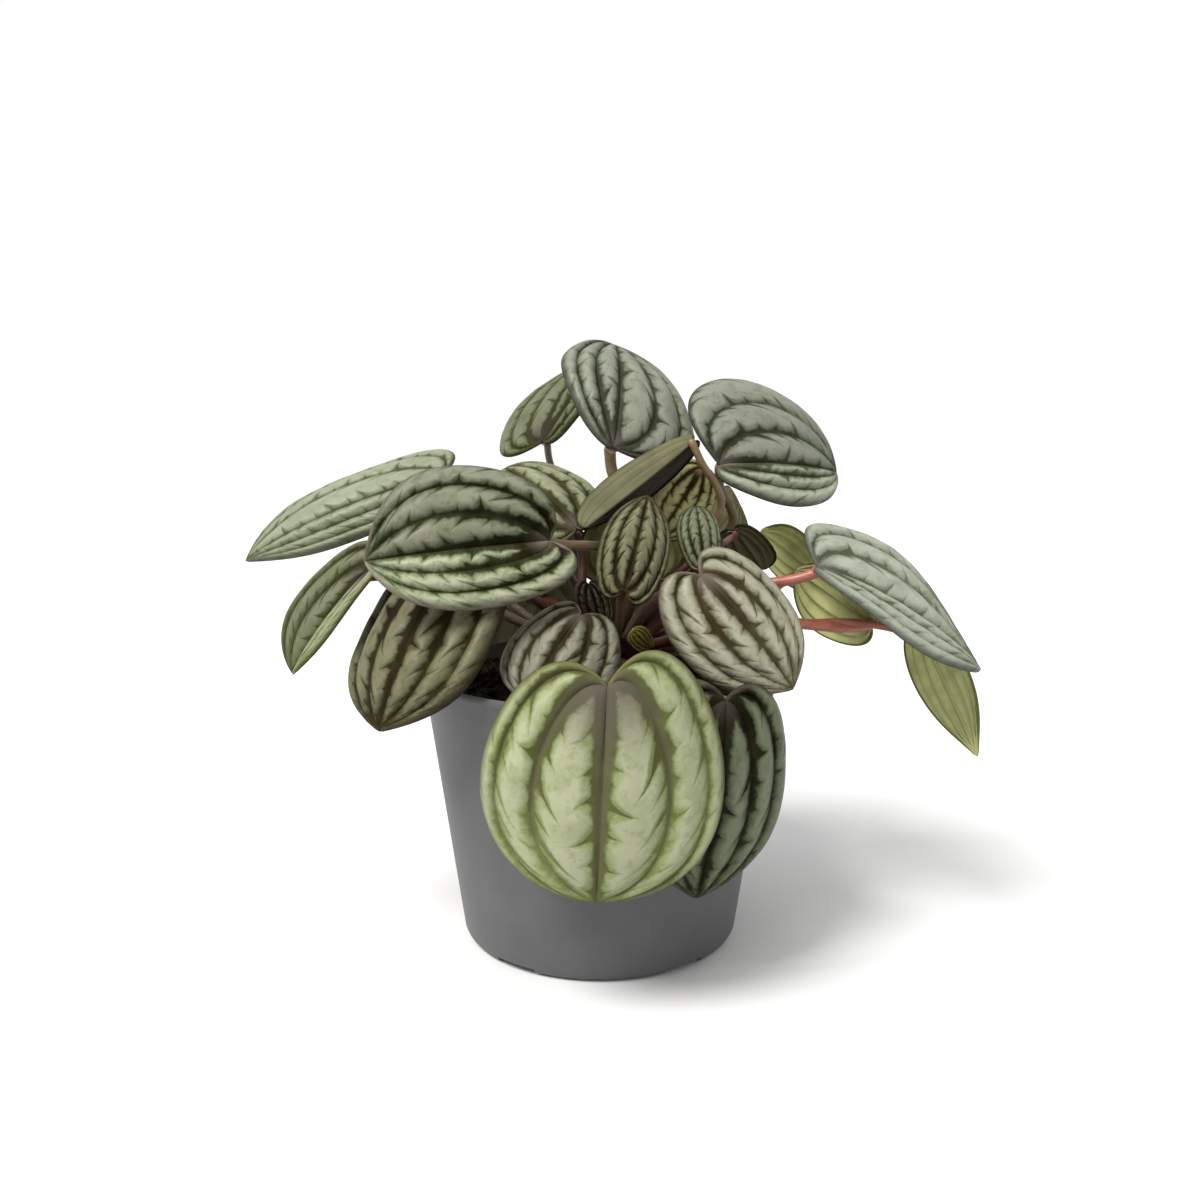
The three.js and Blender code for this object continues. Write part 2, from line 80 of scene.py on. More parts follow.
def only(piece):
    start_clean()
    piece.select_set(True)
    bpy.context.view_layer.objects.active = piece
    return piece


def apply_all(piece):
    only(piece)
    for modifier in list(piece.modifiers):
        bpy.ops.object.modifier_apply(modifier=modifier.name)


def settle(piece, name, slot, *nodes):
    """Names a finished piece, puts it on the part's one body and hides the solids it replaces."""
    piece.name = name
    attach(piece, "root")
    if nodes:
        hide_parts(*nodes)
    print(name, len(piece.data.polygons), "faces")
    return piece


# %% [markdown]
# ## The camera
# The photograph looks slightly down on the plant from straight in front. The taper of
# the pot and the ellipse of its foot give the distance and the tilt. The focal length
# follows from how large the pot is in the picture.

# %% Place the camera
PHOTO_PIXELS, FOCAL_PIXELS, SENSOR = 1200, 1139, 36
CAMERA_AWAY, CAMERA_HEIGHT, LOOK_DOWN = 0.383, 0.1685, math.radians(8)
bpy.ops.object.camera_add(
    location=(0, -CAMERA_AWAY, CAMERA_HEIGHT), rotation=(math.pi / 2 - LOOK_DOWN, 0, 0))
camera = bpy.context.object
camera.name = "photo_camera"
camera.data.sensor_width = SENSOR
camera.data.lens = SENSOR * FOCAL_PIXELS / PHOTO_PIXELS
camera.data.clip_start = 0.02
bpy.context.scene.camera = camera
print("lens", round(camera.data.lens, 2), "mm")

# %% [markdown]
# ## Floor and light
# A wide pale floor and a white world give the pure white of the picture. One broad
# lamp, high on the left and in front, makes the pot lighter on its left and throws the
# soft shadow to the right and back. Colours are shown as they are, with no film curve.

# %% Floor, world and lamp
FLOOR_RADIUS, FLOOR_DROP, FLOOR_WHITE = 4, 0.0002, 0.6
LAMP_POWER, LAMP_SOFTNESS, LAMP_COLOUR = 4.6, math.radians(24), (1.0, 0.985, 0.96)
start_clean()
bpy.ops.mesh.primitive_circle_add(
    vertices=96, radius=FLOOR_RADIUS, fill_type="NGON", location=(0, 0, -FLOOR_DROP))
floor = bpy.context.object
floor.name = "studio_floor"
floor_paint = bpy.data.materials.new("white_floor")
floor_paint.use_nodes = True
floor_shader = floor_paint.node_tree.nodes["Principled BSDF"]
floor_shader.inputs["Base Color"].default_value = (*[FLOOR_WHITE] * 3, 1)
floor_shader.inputs["Roughness"].default_value = 0.9
floor_shader.inputs["Specular IOR Level"].default_value = 0.1
floor.data.materials.append(floor_paint)

world = bpy.data.worlds.new("white_room")
world.use_nodes = True
world.node_tree.nodes["Background"].inputs["Color"].default_value = (1, 1, 1, 1)
world.node_tree.nodes["Background"].inputs["Strength"].default_value = 1.0
bpy.context.scene.world = world
bpy.context.scene.view_settings.view_transform = "Standard"
bpy.context.scene.view_settings.look = "None"

LIGHT_FROM = Vector((-0.5, -0.5, 0.9))
bpy.ops.object.light_add(type="SUN", location=LIGHT_FROM)
lamp = bpy.context.object
lamp.name = "soft_lamp"
lamp.data.energy = LAMP_POWER
lamp.data.angle = LAMP_SOFTNESS
lamp.data.color = LAMP_COLOUR
lamp.rotation_euler = LIGHT_FROM.to_track_quat("Z", "Y").to_euler()
print("light from", [round(v, 2) for v in LIGHT_FROM.normalized()])


# %% [markdown]
# ## Building a material from nodes
# Every finish is a small network of nodes. A little class wires them: it adds a node,
# plugs in what we name, and hands back the output. Numbers go in as plain values, and
# outputs of earlier nodes go in as links. A noise is given by its scale per metre, its
# octaves and how rough they make it.

# %% A small wiring helper
class Wiring:
    def __init__(self, name):
        self.material = bpy.data.materials.new(name)
        self.material.use_nodes = True
        self.nodes = self.material.node_tree.nodes
        self.links = self.material.node_tree.links
        self.shader = self.nodes["Principled BSDF"]

    def plug(self, socket, value):
        if isinstance(value, bpy.types.NodeSocket):
            self.links.new(value, socket)
        elif isinstance(value, (tuple, list)) and len(value) == 3 and socket.type == "RGBA":
            socket.default_value = (*value, 1)
        else:
            socket.default_value = value

    def math(self, operation, a, b=None, c=None):
        node = self.nodes.new("ShaderNodeMath")
        node.operation = operation
        for socket, value in zip(node.inputs, (a, b, c)):
            if value is not None:
                self.plug(socket, value)
        return node.outputs[0]

    def add(self, a, b):
        return self.math("ADD", a, b)

    def less(self, a, b):
        return self.math("SUBTRACT", a, b)

    def times(self, a, b):
        return self.math("MULTIPLY", a, b)

    def ramp(self, value, low, high, out_low=0.0, out_high=1.0, smooth=True):
        node = self.nodes.new("ShaderNodeMapRange")
        node.interpolation_type = "SMOOTHSTEP" if smooth else "LINEAR"
        for name, put in zip(("Value", "From Min", "From Max", "To Min", "To Max"),
                             (value, low, high, out_low, out_high)):
            self.plug(node.inputs[name], put)
        return node.outputs["Result"]

    def mix(self, factor, a, b, blend="MIX"):
        node = self.nodes.new("ShaderNodeMix")
        node.data_type = "RGBA"
        node.blend_type = blend
        self.plug(node.inputs[0], factor)
        self.plug(node.inputs[6], a)
        self.plug(node.inputs[7], b)
        return node.outputs[2]

    def shade(self, colour, light):
        """A colour made lighter or darker by a number."""
        node = self.nodes.new("ShaderNodeVectorMath")
        node.operation = "SCALE"
        self.plug(node.inputs[0], colour)
        self.plug(node.inputs["Scale"], light)
        return node.outputs[0]

    def noise(self, vector, scale, detail, rough):
        node = self.nodes.new("ShaderNodeTexNoise")
        self.plug(node.inputs["Vector"], vector)
        self.plug(node.inputs["Scale"], scale)
        self.plug(node.inputs["Detail"], detail)
        self.plug(node.inputs["Roughness"], rough)
        return node.outputs["Fac"]

    def place(self):
        node = self.nodes.new("ShaderNodeTexCoord")
        return node.outputs["Object"]

    def attribute(self, name):
        node = self.nodes.new("ShaderNodeAttribute")
        node.attribute_name = name
        return node

    def split(self, vector):
        node = self.nodes.new("ShaderNodeSeparateXYZ")
        self.plug(node.inputs[0], vector)
        return node.outputs

    def bump(self, height, distance, strength):
        node = self.nodes.new("ShaderNodeBump")
        self.plug(node.inputs["Height"], height)
        self.plug(node.inputs["Distance"], distance)
        self.plug(node.inputs["Strength"], strength)
        return node.outputs["Normal"]

    def finish(self, **sockets):
        for name, value in sockets.items():
            self.plug(self.shader.inputs[name.replace("_", " ")], value)
        return self.material


def srgb(red, green, blue, light=1.0):
    """A colour read off the screen, 0 to 255, as the linear colour nodes work with,
    divided by how strongly the studio lights the surface."""
    def linear(value):
        value /= 255
        return value / 12.92 if value <= 0.04045 else ((value + 0.055) / 1.055) ** 2.4
    return tuple(linear(v) / light for v in (red, green, blue))


# %% [markdown]
# ## The pot
# The pot is moulded: a thin tapered wall with a small lip, a rounded foot and five
# shallow slots that let water out. One circle is extruded ring by ring up the outside,
# over the lip and down the inside, as a potter raises a wall, so it comes out round.

# %% Raise the wall ring by ring
POT_HEIGHT, RIM_RADIUS, BASE_RADIUS, WALL = 91.6, 60.0, 46.7, 1.2
NOTCH_ANGLES = [-54 + 72 * k for k in range(5)]


def outer_wall(z):
    return BASE_RADIUS + (RIM_RADIUS - BASE_RADIUS) * z / POT_HEIGHT


def inner_wall(z):
    return outer_wall(z) - WALL


POT_RINGS = [
    (6, 1.5), (37, 1.5), (37.6, 1.2), (38, 0.2), (38.3, 0.0), (43.2, 0.0), (44.6, 0.25),
    (45.8, 0.9), (46.6, 1.9), (outer_wall(3.2), 3.2), (outer_wall(30), 30),
    (outer_wall(60), 60), (outer_wall(88.6), 88.6), (outer_wall(89.2) + 0.25, 89.0),
    (outer_wall(89.6) + 0.55, 89.5), (outer_wall(91) + 0.6, 91.0),
    (outer_wall(91.6) + 0.35, 91.5), (outer_wall(91.6), 91.6), (inner_wall(91.6) + 0.3, 91.55),
    (inner_wall(91.2), 91.1), (inner_wall(60), 60), (inner_wall(30), 30),
    (inner_wall(6), 6), (inner_wall(4) - 0.8, 3.8), (inner_wall(3) - 2.2, 3.05), (6, 3.0),
]


def raise_wall(rings, sides):
    start_clean()
    radius, height = rings[0]
    bpy.ops.mesh.primitive_circle_add(
        vertices=sides, radius=radius * MM, location=(0, 0, height * MM))
    wall = bpy.context.object
    bpy.ops.object.transform_apply(location=True)
    bpy.ops.object.mode_set(mode="EDIT")
    bpy.ops.mesh.select_all(action="SELECT")
    bpy.ops.mesh.edge_face_add()
    for (last_radius, last_height), (radius, height) in zip(rings, rings[1:]):
        bpy.ops.mesh.extrude_region_move(
            TRANSFORM_OT_translate={"value": (0, 0, (height - last_height) * MM)})
        scale = radius / last_radius
        bpy.ops.transform.resize(value=(scale, scale, 1), center_override=(0, 0, height * MM))
    bpy.ops.mesh.select_all(action="SELECT")
    bpy.ops.mesh.normals_make_consistent(inside=False)
    bpy.ops.object.mode_set(mode="OBJECT")
    return wall


POT_SIDES = 144
pot = raise_wall(POT_RINGS, POT_SIDES)
print("pot raised with", len(POT_RINGS), "rings")

# %% [markdown]
# The foot slots and the drain holes are cut away with a Boolean modifier: a box for each
# slot and a short rod for each hole, all joined into one cutter that is thrown away.

# %% Cut the foot slots and the drain holes
SLOT_SIZE, SLOT_OUT = Vector((16, 15, 4.6)), 44
DRAIN_RADIUS, DRAIN_DEPTH, DRAIN_OUT, DRAIN_HEIGHT = 3.5, 8, 29, 2


def cutters(angles):
    start_clean()
    for angle in angles:
        turn = math.radians(angle)
        out = Vector((math.cos(turn), math.sin(turn), 0))
        bpy.ops.mesh.primitive_cube_add(size=1, location=out * SLOT_OUT * MM, rotation=(0, 0, turn))
        bpy.context.object.scale = SLOT_SIZE * MM
        bpy.context.object.name = "cutter"
        bpy.ops.mesh.primitive_cylinder_add(
            vertices=32, radius=DRAIN_RADIUS * MM, depth=DRAIN_DEPTH * MM,
            location=(out * DRAIN_OUT + Vector((0, 0, DRAIN_HEIGHT))) * MM)
        bpy.context.object.name = "cutter"
    found = [o for o in bpy.data.objects if o.name.startswith("cutter")]
    start_clean()
    for piece in found:
        piece.select_set(True)
    bpy.context.view_layer.objects.active = found[0]
    bpy.ops.object.join()
    bpy.ops.object.transform_apply(location=True, rotation=True, scale=True)
    return bpy.context.object


cutter = cutters(NOTCH_ANGLES)
cut = pot.modifiers.new("drain", "BOOLEAN")
cut.operation = "DIFFERENCE"
cut.solver = "EXACT"
cut.object = cutter
apply_all(pot)
bpy.data.objects.remove(cutter)
only(pot)
bpy.ops.object.shade_smooth_by_angle(angle=math.radians(32))

# %% [markdown]
# Recycled plastic has faint clouds in it, a fine grain that softens the highlight, and
# thin upright scuffs. Each is a noise at its own scale: clouds in colour and roughness,
# grain in the bump, scuffs as slightly paler and duller streaks.

# %% Grey moulded plastic
def moulded_plastic():
    w = Wiring("grey_moulded_plastic")
    here = w.place()
    clouds = w.noise(here, 60, 4, 0.6)
    grain = w.noise(here, 2600, 2, 0.5)
    stretch = w.nodes.new("ShaderNodeMapping")
    w.plug(stretch.inputs["Vector"], here)
    stretch.inputs["Scale"].default_value = (1, 1, 0.12)
    scuffs = w.noise(stretch.outputs[0], 900, 3, 0.6)
    colour = w.mix(w.ramp(clouds, 0.3, 0.7), srgb(90, 91, 92, 1.55), srgb(98, 99, 100, 1.55))
    colour = w.mix(w.ramp(scuffs, 0.62, 0.78, 0.0, 0.16), colour, srgb(124, 125, 126, 1.4))
    rough = w.add(w.ramp(clouds, 0.3, 0.7, 0.46, 0.54), w.ramp(scuffs, 0.6, 0.8, 0.0, 0.1))
    normal = w.bump(grain, 0.00004, 0.5)
    return w.finish(Base_Color=colour, Roughness=rough, Specular_IOR_Level=0.4, Normal=normal)


pot.data.materials.append(moulded_plastic())
settle(pot, "pot_shell", "pot", "pot")


# %% [markdown]
# ## The soil
# The soil fills the pot to just under the rim. Its solid stays, with a dark damp finish,
# and several hundred crumbs lie on it: one small ball with its corners pushed about,
# copied at seeded places, sizes and turns, and sunk a third of the way in.

# %% Damp dark soil
SOIL_TOP, SOIL_RISE, SOIL_LUMP, CROWN_RADIUS = 86.0, 2.5, 0.9, 7.0
FIT_GAP = 0.45
SOIL_EDGE = inner_wall(SOIL_TOP) - FIT_GAP


def soil_height(x, y):
    out = math.hypot(x, y)
    rise = SOIL_RISE * math.cos(math.pi / 2 * min(1, out / SOIL_EDGE))
    lumps = math.sin(0.61 * x + 2 * math.sin(0.31 * y)) * math.cos(0.53 * y + 0.2 * x)
    return SOIL_TOP + rise + SOIL_LUMP * lumps


def damp_soil():
    w = Wiring("damp_soil")
    here = w.place()
    coarse = w.noise(here, 420, 5, 0.65)
    fine = w.noise(here, 2200, 3, 0.6)
    colour = w.mix(w.ramp(coarse, 0.35, 0.7), (0.005, 0.003, 0.002), (0.022, 0.016, 0.009))
    colour = w.mix(w.ramp(fine, 0.62, 0.75, 0.0, 0.5), colour, (0.022, 0.026, 0.01))
    normal = w.bump(w.add(coarse, w.times(fine, 0.4)), 0.0012, 0.9)
    return w.finish(Base_Color=colour, Roughness=w.ramp(fine, 0.3, 0.8, 0.6, 0.95),
                    Specular_IOR_Level=0.05, Normal=normal)


soil_look = damp_soil()
frame["nodes"]["soil"].data.materials.clear()
frame["nodes"]["soil"].data.materials.append(soil_look)

# %% Crumbs on the soil
CRUMB_TRIES, SMALLEST_CRUMB, CRUMB_SPREAD = 900, 0.45, 1.1


def one_crumb():
    start_clean()
    bpy.ops.mesh.primitive_ico_sphere_add(subdivisions=2, radius=1)
    crumb = bpy.context.object
    bpy.ops.object.mode_set(mode="EDIT")
    bpy.ops.transform.vertex_random(offset=0.22, seed=4)
    bpy.ops.object.mode_set(mode="OBJECT")
    return crumb


def scatter_crumbs(count):
    draw = random.Random(11)
    crumb = one_crumb()
    shape = np.array([v.co[:] for v in crumb.data.vertices])
    faces = np.array([p.vertices[:] for p in crumb.data.polygons])
    points, corners = [], []
    for k in range(count):
        out = SOIL_EDGE * math.sqrt(draw.uniform(0.03, 0.97))
        turn = draw.uniform(0, 2 * math.pi)
        x, y = out * math.cos(turn), out * math.sin(turn)
        if math.hypot(x, y) < CROWN_RADIUS + 2.5 or math.hypot(x, y) > SOIL_EDGE - 1.5:
            continue
        size = SMALLEST_CRUMB + CRUMB_SPREAD * draw.random() ** 2.2
        stretch = np.array([draw.uniform(0.7, 1.3) for _ in range(3)]) * size
        spin = draw.uniform(0, 2 * math.pi)
        moved = shape[:, [k % 3, (k + 1) % 3, (k + 2) % 3]] * stretch
        turned = moved.copy()
        turned[:, 0] = moved[:, 0] * math.cos(spin) - moved[:, 1] * math.sin(spin)
        turned[:, 1] = moved[:, 0] * math.sin(spin) + moved[:, 1] * math.cos(spin)
        corners.append(faces + len(points) * len(shape))
        points.append(turned + np.array([x, y, soil_height(x, y) + 0.25 * size]))
    bpy.data.objects.remove(crumb)
    mesh = bpy.data.meshes.new("soil_crumbs")
    mesh.from_pydata((np.concatenate(points) * MM).tolist(), [], np.concatenate(corners).tolist())
    mesh.shade_smooth()
    piece = bpy.data.objects.new("soil_crumbs", mesh)
    bpy.context.collection.objects.link(piece)
    return piece


crumbs = scatter_crumbs(CRUMB_TRIES)
crumbs.data.materials.append(soil_look)
settle(crumbs, "soil_crumbs", "soil")


# %% [markdown]
# ## The leaves, one by one
# Each blade is given by a few measures that can be read off the plant: where stalk and
# blade meet (joint), where the tip is, which way the upper side faces, how wide it is,
# how far it bows from joint to tip (arch) and from midrib to margin (cup), a roof fold
# along the midrib (negative for a trough), how much wider one half is (skew), how far
# the lobes swing back and how broad they start, how pointed the tip is, and where on
# the way from midrib to margin the side veins run. Two values in brackets are for the
# two halves. The solids in the frame are made from the same measures, so the fine blades
# land exactly on them. Each leaf also names its set of colours (look), how light it is
# against that set (tone), and the colour of its stalk (stem).

# %% The leaf table, in millimetres
def leaf(name, joint, tip, face, width, look="lime", stem="maroon", **more):
    measures = dict(arch=0.5, cup=0.5, fold=0, skew=0, lobe=0.58, base=0.58, point=0)
    measures.update(veins=(0.42, 0.76), tone=1.0, stalk=dict(radius=1.4))
    measures.update(more)
    return dict(name=name, joint=Vector(joint), tip=Vector(tip), face=Vector(face),
                width=width, look=look, stem=stem, **measures)


# The tone is partly each leaf's own lightness and partly painted light and shade: leaves that sit
# in shade, such as upper_left, dark_right and one half of bridge, are made darker, some such as
# middle_striped, lime_upper and olive_underside are made lighter as painted light, and left,
# upper_right and left_drooping have one half lighter than the other for the light that falls on it.
LEAVES = [
    leaf("front", joint=(2, -80, 102), tip=(-1, -77, 40), face=(-0.02, -1, 0.12), width=72,
         cup=0.6, fold=0.05, veins=(0.53, 0.86), lobe=(0.42, 0.62), base=(0.65, 0.58),
         stalk=dict(radius=1.5, via=(10, -46, 95), arrive=(-0.3, -0.9, 0.15))),
    leaf("front_small", joint=(-6, -38, 114.8), tip=(-21, -53, 91.5), face=(-0.2, -0.85, 0.5),
         width=40, look="pink", tone=0.66, arch=0.7, cup=0.7, fold=0.1,
         stalk=dict(radius=1.2, via=(-3, -22, 102))),
    leaf("inner_dark", joint=(-3.5, -12.5, 121), tip=(0, -19, 108.5), face=(0.3, -0.9, 0.3),
         width=13, look="dark", arch=0.4, stalk=dict(radius=0.9)),
    leaf("low_left", joint=(-46, -26, 129), tip=(-66, -50, 82), face=(-0.55, -0.75, 0.35),
         width=62, look="umber", tone=0.69, fold=0.02, point=0.6, skew=-0.08),
    leaf("left", joint=(-16, -38, 138), tip=(-69, -50, 133), face=(-0.05, -0.97, 0.2), width=51,
         look="silver", tone=(0.74, 1.6), stem="olive", arch=0.6, cup=0.9, fold=-0.2, skew=-0.24,
         point=0.6, lobe=(0.3, 0.6), base=(0.5, 0.6), veins=(0.36, 0.7),
         stalk=dict(radius=1.5, via=(5, -9, 130), arrive=(-1, -0.7, 0.18))),
    leaf("behind_left", joint=(-8, -2, 139), tip=(-34, 26, 158), face=(-0.1, -0.5, 0.85),
         width=54, look="sage", tone=1.2, cup=0.6, fold=0.1, skew=0.2, lobe=0.3),
    leaf("upper_left", joint=(-20, 28, 168), tip=(-5, 50, 197), face=(-0.6, -0.6, 0.5), width=36,
         tone=0.41, stem="grey", arch=0.4, cup=(0.4, 0.06), skew=0.2, lobe=(0.2, 0.45),
         base=(0.5, 1.6), point=(0, 1),
         stalk=dict(radius=1.3, arrive=(-0.1, -0.65, 1), via=(-10, 35, 134))),
    leaf("top", joint=(4, -4, 166), tip=(5, 31, 201.5), face=(0.35, -0.72, 0.6), width=50,
         look="blue", tone=0.96, stem="olive", arch=0.9, cup=0.4, lobe=(0.15, 0.05),
         base=(1.5, 0.3), skew=-0.15, point=(0.9, 0.3),
         stalk=dict(radius=1.9, arrive=(-0.1, -0.3, 1), via=(13, -5, 130), nearer=0.3)),
    leaf("upper_right", joint=(40, -2, 160), tip=(82, 16, 157), face=(0, -0.9, 0.4), width=50,
         look="blue", tone=(1.5, 0.8), stem="olive", arch=0.6, cup=(1.0, 0.5), skew=0.46,
         lobe=(0.2, 0.6), base=(0.5, 1.15), point=(0, 0.5), fold=-0.1, veins=(0.3, 0.62),
         stalk=dict(radius=1.5, arrive=(-0.1, -0.4, 1), via=(45.5, 7.2, 140))),
    leaf("bridge", joint=(29.3, -13, 167.4), tip=(-5, -27, 141), face=(-0.11, 0.92, -0.37),
         width=21, look="olive", tone=(0.1, 0.52), stem="olive", arch=0.3, cup=0.3, fold=-0.94,
         skew=0.3, lobe=0.3, point=(1.2, 0),
         stalk=dict(radius=1.2, via=(40, -6, 146), arrive=(-0.5, -0.2, 1))),
    leaf("middle_striped", joint=(33.5, 0.5, 158.5), tip=(19, -5.5, 136), face=(0.2, -0.9, 0.3),
         width=25, look="olive", tone=2.8, stem="olive", arch=0.4, fold=0.1, point=0.6, lobe=0.35,
         stalk=dict(radius=1.2, arrive=(0.1, -0.4, 1), via=(30, 5, 130), nearer=0.2)),
    leaf("centre", joint=(8, -30, 123), tip=(15, -24, 151), face=(0.05, -1, 0.1), width=25,
         look="umber", tone=0.8, stem="olive", arch=0.3, cup=0.6, point=0.8, veins=(0.5, 0.86),
         stalk=dict(radius=1.4, via=(6, -18, 108))),
    leaf("centre_small", joint=(33, -20, 130), tip=(31, -14, 147), face=(0.2, -1, 0.1), width=14,
         look="sage", tone=0.77, stem="pink", arch=0.3, veins=(0.5, 0.86),
         stalk=dict(radius=1.0)),
    leaf("right", joint=(31, -38, 127), tip=(58, -46, 94), face=(0.15, -0.85, 0.45), width=46,
         look="pink", stem="pink", cup=0.6, fold=0.05, point=0.8, veins=(0.4, 0.75),
         stalk=dict(radius=1.5)),
    leaf("low_right", joint=(36, -62, 94), tip=(28, -65, 36), face=(0.35, -0.93, 0.1), width=66,
         look="shade", stem="salmon", arch=0.4, cup=0.6, fold=0.1, point=0.8, lobe=0.4,
         stalk=dict(radius=1.4, via=(23, -41, 95), arrive=(0.3, -0.9, -0.08))),
    leaf("far_right", joint=(71, -14, 127), tip=(123, -20, 95), face=(0.25, -0.5, 0.83), width=49,
         look="mist", tone=1.2, stem="salmon", point=(0.3, 2.2), fold=-0.35, skew=0.15,
         base=(0.5, 1.2), lobe=(0.1, 0.5),
         stalk=dict(radius=1.7, arrive=(1, -0.25, 0.35), nearer=0.6)),
    leaf("lime_underside", joint=(92.3, 2, 106.4), tip=(68, 11, 123.5), face=(0.3, 0.9, 0.3),
         width=30, stem="salmon", arch=0.3, cup=0.4, point=0.7, lobe=0.45,
         stalk=dict(radius=1.8, arrive=(1, 0.35, 0.1), via=(50, -6, 108))),
    leaf("lime_hanging", joint=(109, -8, 101), tip=(125.2, -16, 64.5), face=(0.3, 0.9, 0.2),
         width=22, stem="salmon", arch=0.3, point=1.5, lobe=0.5,
         stalk=dict(radius=1.3, via=(80, -2, 107.4), arrive=(0.8, 0, -0.6), nearer=-0.05)),
    leaf("olive_underside", joint=(38, 12, 131), tip=(51, 32, 145), face=(0.2, 0.8, 0.4),
         width=28, look="sage", tone=1.5, cup=0.6, stalk=dict(radius=1.2)),
    leaf("far_left", joint=(-55.1, 12, 155.5), tip=(-123.8, 14, 126.5), face=(-0.3, -0.75, 0.6),
         width=44, look="pale", stem="grey", cup=0.6, fold=0.1, point=0.9, skew=-0.4, lobe=0.4,
         base=0.9, stalk=dict(radius=1.4, via=(-46, 0, 120), arrive=(-0.2, 0.2, 1))),
    leaf("left_drooping", joint=(-76, -14, 125), tip=(-100, -18, 93), face=(-0.6, -0.6, 0.5),
         width=32, tone=(0.42, 0.68), stem="grey", arch=0.3, cup=0.2, fold=-0.46, point=0.45,
         lobe=0.75, veins=(0.5, 0.86),
         stalk=dict(radius=1.2, via=(-52, 4, 125), arrive=(-0.8, -0.5, 0))),
    leaf("young", joint=(15, -27, 103.5), tip=(10, -31, 109.5), face=(0, -1, 0.2), width=7,
         look="young", tone=1.1, arch=0.2, cup=0.3, stalk=dict(radius=0.9)),
    leaf("back_right", joint=(46, 18, 118), tip=(53, 66, 92), face=(0.5, 0.5, 0.75), width=32,
         look="silver", arch=0.6),
    leaf("back_middle_right", joint=(19, 46, 126), tip=(18, 82, 92), face=(0.2, 0.5, 0.85),
         width=40, look="silver", arch=0.6),
    leaf("back_middle_left", joint=(-20, 42, 134), tip=(-34, 78, 98), face=(-0.1, 0.5, 0.85),
         width=44, look="sage", arch=0.6),
    leaf("back_left", joint=(-44, 22, 122), tip=(-70, 54, 92), face=(-0.45, 0.5, 0.75), width=40,
         look="silver", arch=0.6),
    leaf("back_low_right", joint=(26, 62, 100), tip=(32, 78, 56), face=(0.4, 0.9, 0.3), width=44,
         look="shade", stem="salmon"),
    leaf("back_low_left", joint=(-24, 58, 108), tip=(-30, 74, 56), face=(-0.4, 0.9, 0.3),
         width=46, look="shade", stem="salmon"),
    leaf("back_upper", joint=(10, 14, 142.5), tip=(13, 24, 117), face=(0.05, 0.8, 0.4), width=40,
         look="blue", stem="olive", arch=0.4, cup=0.6, lobe=0.4, stalk=dict(radius=1.3)),
    leaf("lime_upper", joint=(75.5, 21, 122), tip=(59, 35, 135.5), face=(0.3, 0.9, 0.3), width=22,
         tone=1.7, stem="salmon", arch=0.3, cup=0.4, point=0.9, lobe=0.5, base=0.7,
         stalk=dict(radius=1.5, arrive=(1, 0.5, 0.2), via=(48, 1, 111))),
    leaf("dark_right", joint=(45, -5, 138), tip=(55, 0, 125), face=(0.3, 0.8, 0.5), width=18,
         look="shade", tone=0.42, arch=0.4, stalk=dict(radius=1.1)),
]
print(len(LEAVES), "leaves")


# %% [markdown]
# ## From measures to a surface
# A heart-shaped leaf is easiest to draw with lines that all run from joint to tip, like
# the meridians of a globe: `t` says which line, from -1 at one margin through 0 on the
# midrib to 1 at the other, and `s` says how far along. The real veins of this plant run
# in just this way, so veins, ribs and colour bands later follow lines of equal `t`.

# %% Blade frame and outline
BLADE_THICKNESS = 0.9
RIB_HEIGHT, EDGE_WAVE, DIMPLE, GROOVE = 0.04, 0.012, 0.003, 0.009  # shares of the width


def unit(vector):
    return vector / vector.length


def blade_frame(leaf):
    chord = leaf["tip"] - leaf["joint"]
    along = unit(chord)
    up = unit(leaf["face"] - along * leaf["face"].dot(along))
    bend = max(0.05, leaf["arch"])
    radius = chord.length / (2 * math.sin(bend / 2))
    return dict(along=along, up=up, side=up.cross(along), bend=bend, radius=radius,
                length=radius * bend)


def sided(value, t):
    """A measure that may differ between the two halves of a blade."""
    if isinstance(value, (tuple, list)):
        return np.where(t < 0, value[0], value[1])
    return np.full(np.shape(t), float(value))


def outline(leaf, length, s, t):
    """Where the line t is at the share s of its way, on the flattened blade."""
    point, lobe, base = (sided(leaf[key], t) for key in ("point", "lobe", "base"))
    half = leaf["width"] / 2 * (1 + np.sign(t) * leaf["skew"])
    margin = [
        (0 * t, 0 * t),
        (-lobe * length, base * half),
        (0.5 * length + 0 * t, 1.44 * half),
        ((0.97 - 0.23 * point) * length, (1.27 - 0.45 * point) * half),
        (length + 0 * t, 0 * t),
    ]
    x, y = 0.0, 0.0
    for i, weight in enumerate((1, 4, 6, 4, 1)):
        share = weight * s**i * (1 - s) ** (4 - i)
        straight = length * i / 4
        x = x + share * (straight + (margin[i][0] - straight) * np.abs(t))
        y = y + share * margin[i][1] * t
    return x, y


def as_array(vector):
    return np.array(vector[:])


def lay_on_blade(leaf, flat_x, flat_y, lift, t):
    """Bends flattened points onto the arch and cup of the blade, with a lift off it."""
    frame_of = blade_frame(leaf)
    along, up, side = (as_array(frame_of[key]) for key in ("along", "up", "side"))
    half = frame_of["bend"] / 2
    turn = half - flat_x / frame_of["radius"]
    bow = leaf["width"] / 2 / sided(leaf["cup"], t)
    fold = leaf["fold"]
    lean = fold + np.abs(flat_y) / bow
    across = np.sign(flat_y) * bow * (np.sin(lean) - math.sin(fold))
    lift = lift + bow * (np.cos(lean) - math.cos(fold))
    radius = frame_of["radius"]
    reach = radius * (math.sin(half) - np.sin(turn)) - lift * np.sin(turn)
    height = radius * (np.cos(turn) - math.cos(half)) + lift * np.cos(turn)
    joint = as_array(leaf["joint"])
    return joint + reach[:, None] * along + across[:, None] * side + height[:, None] * up


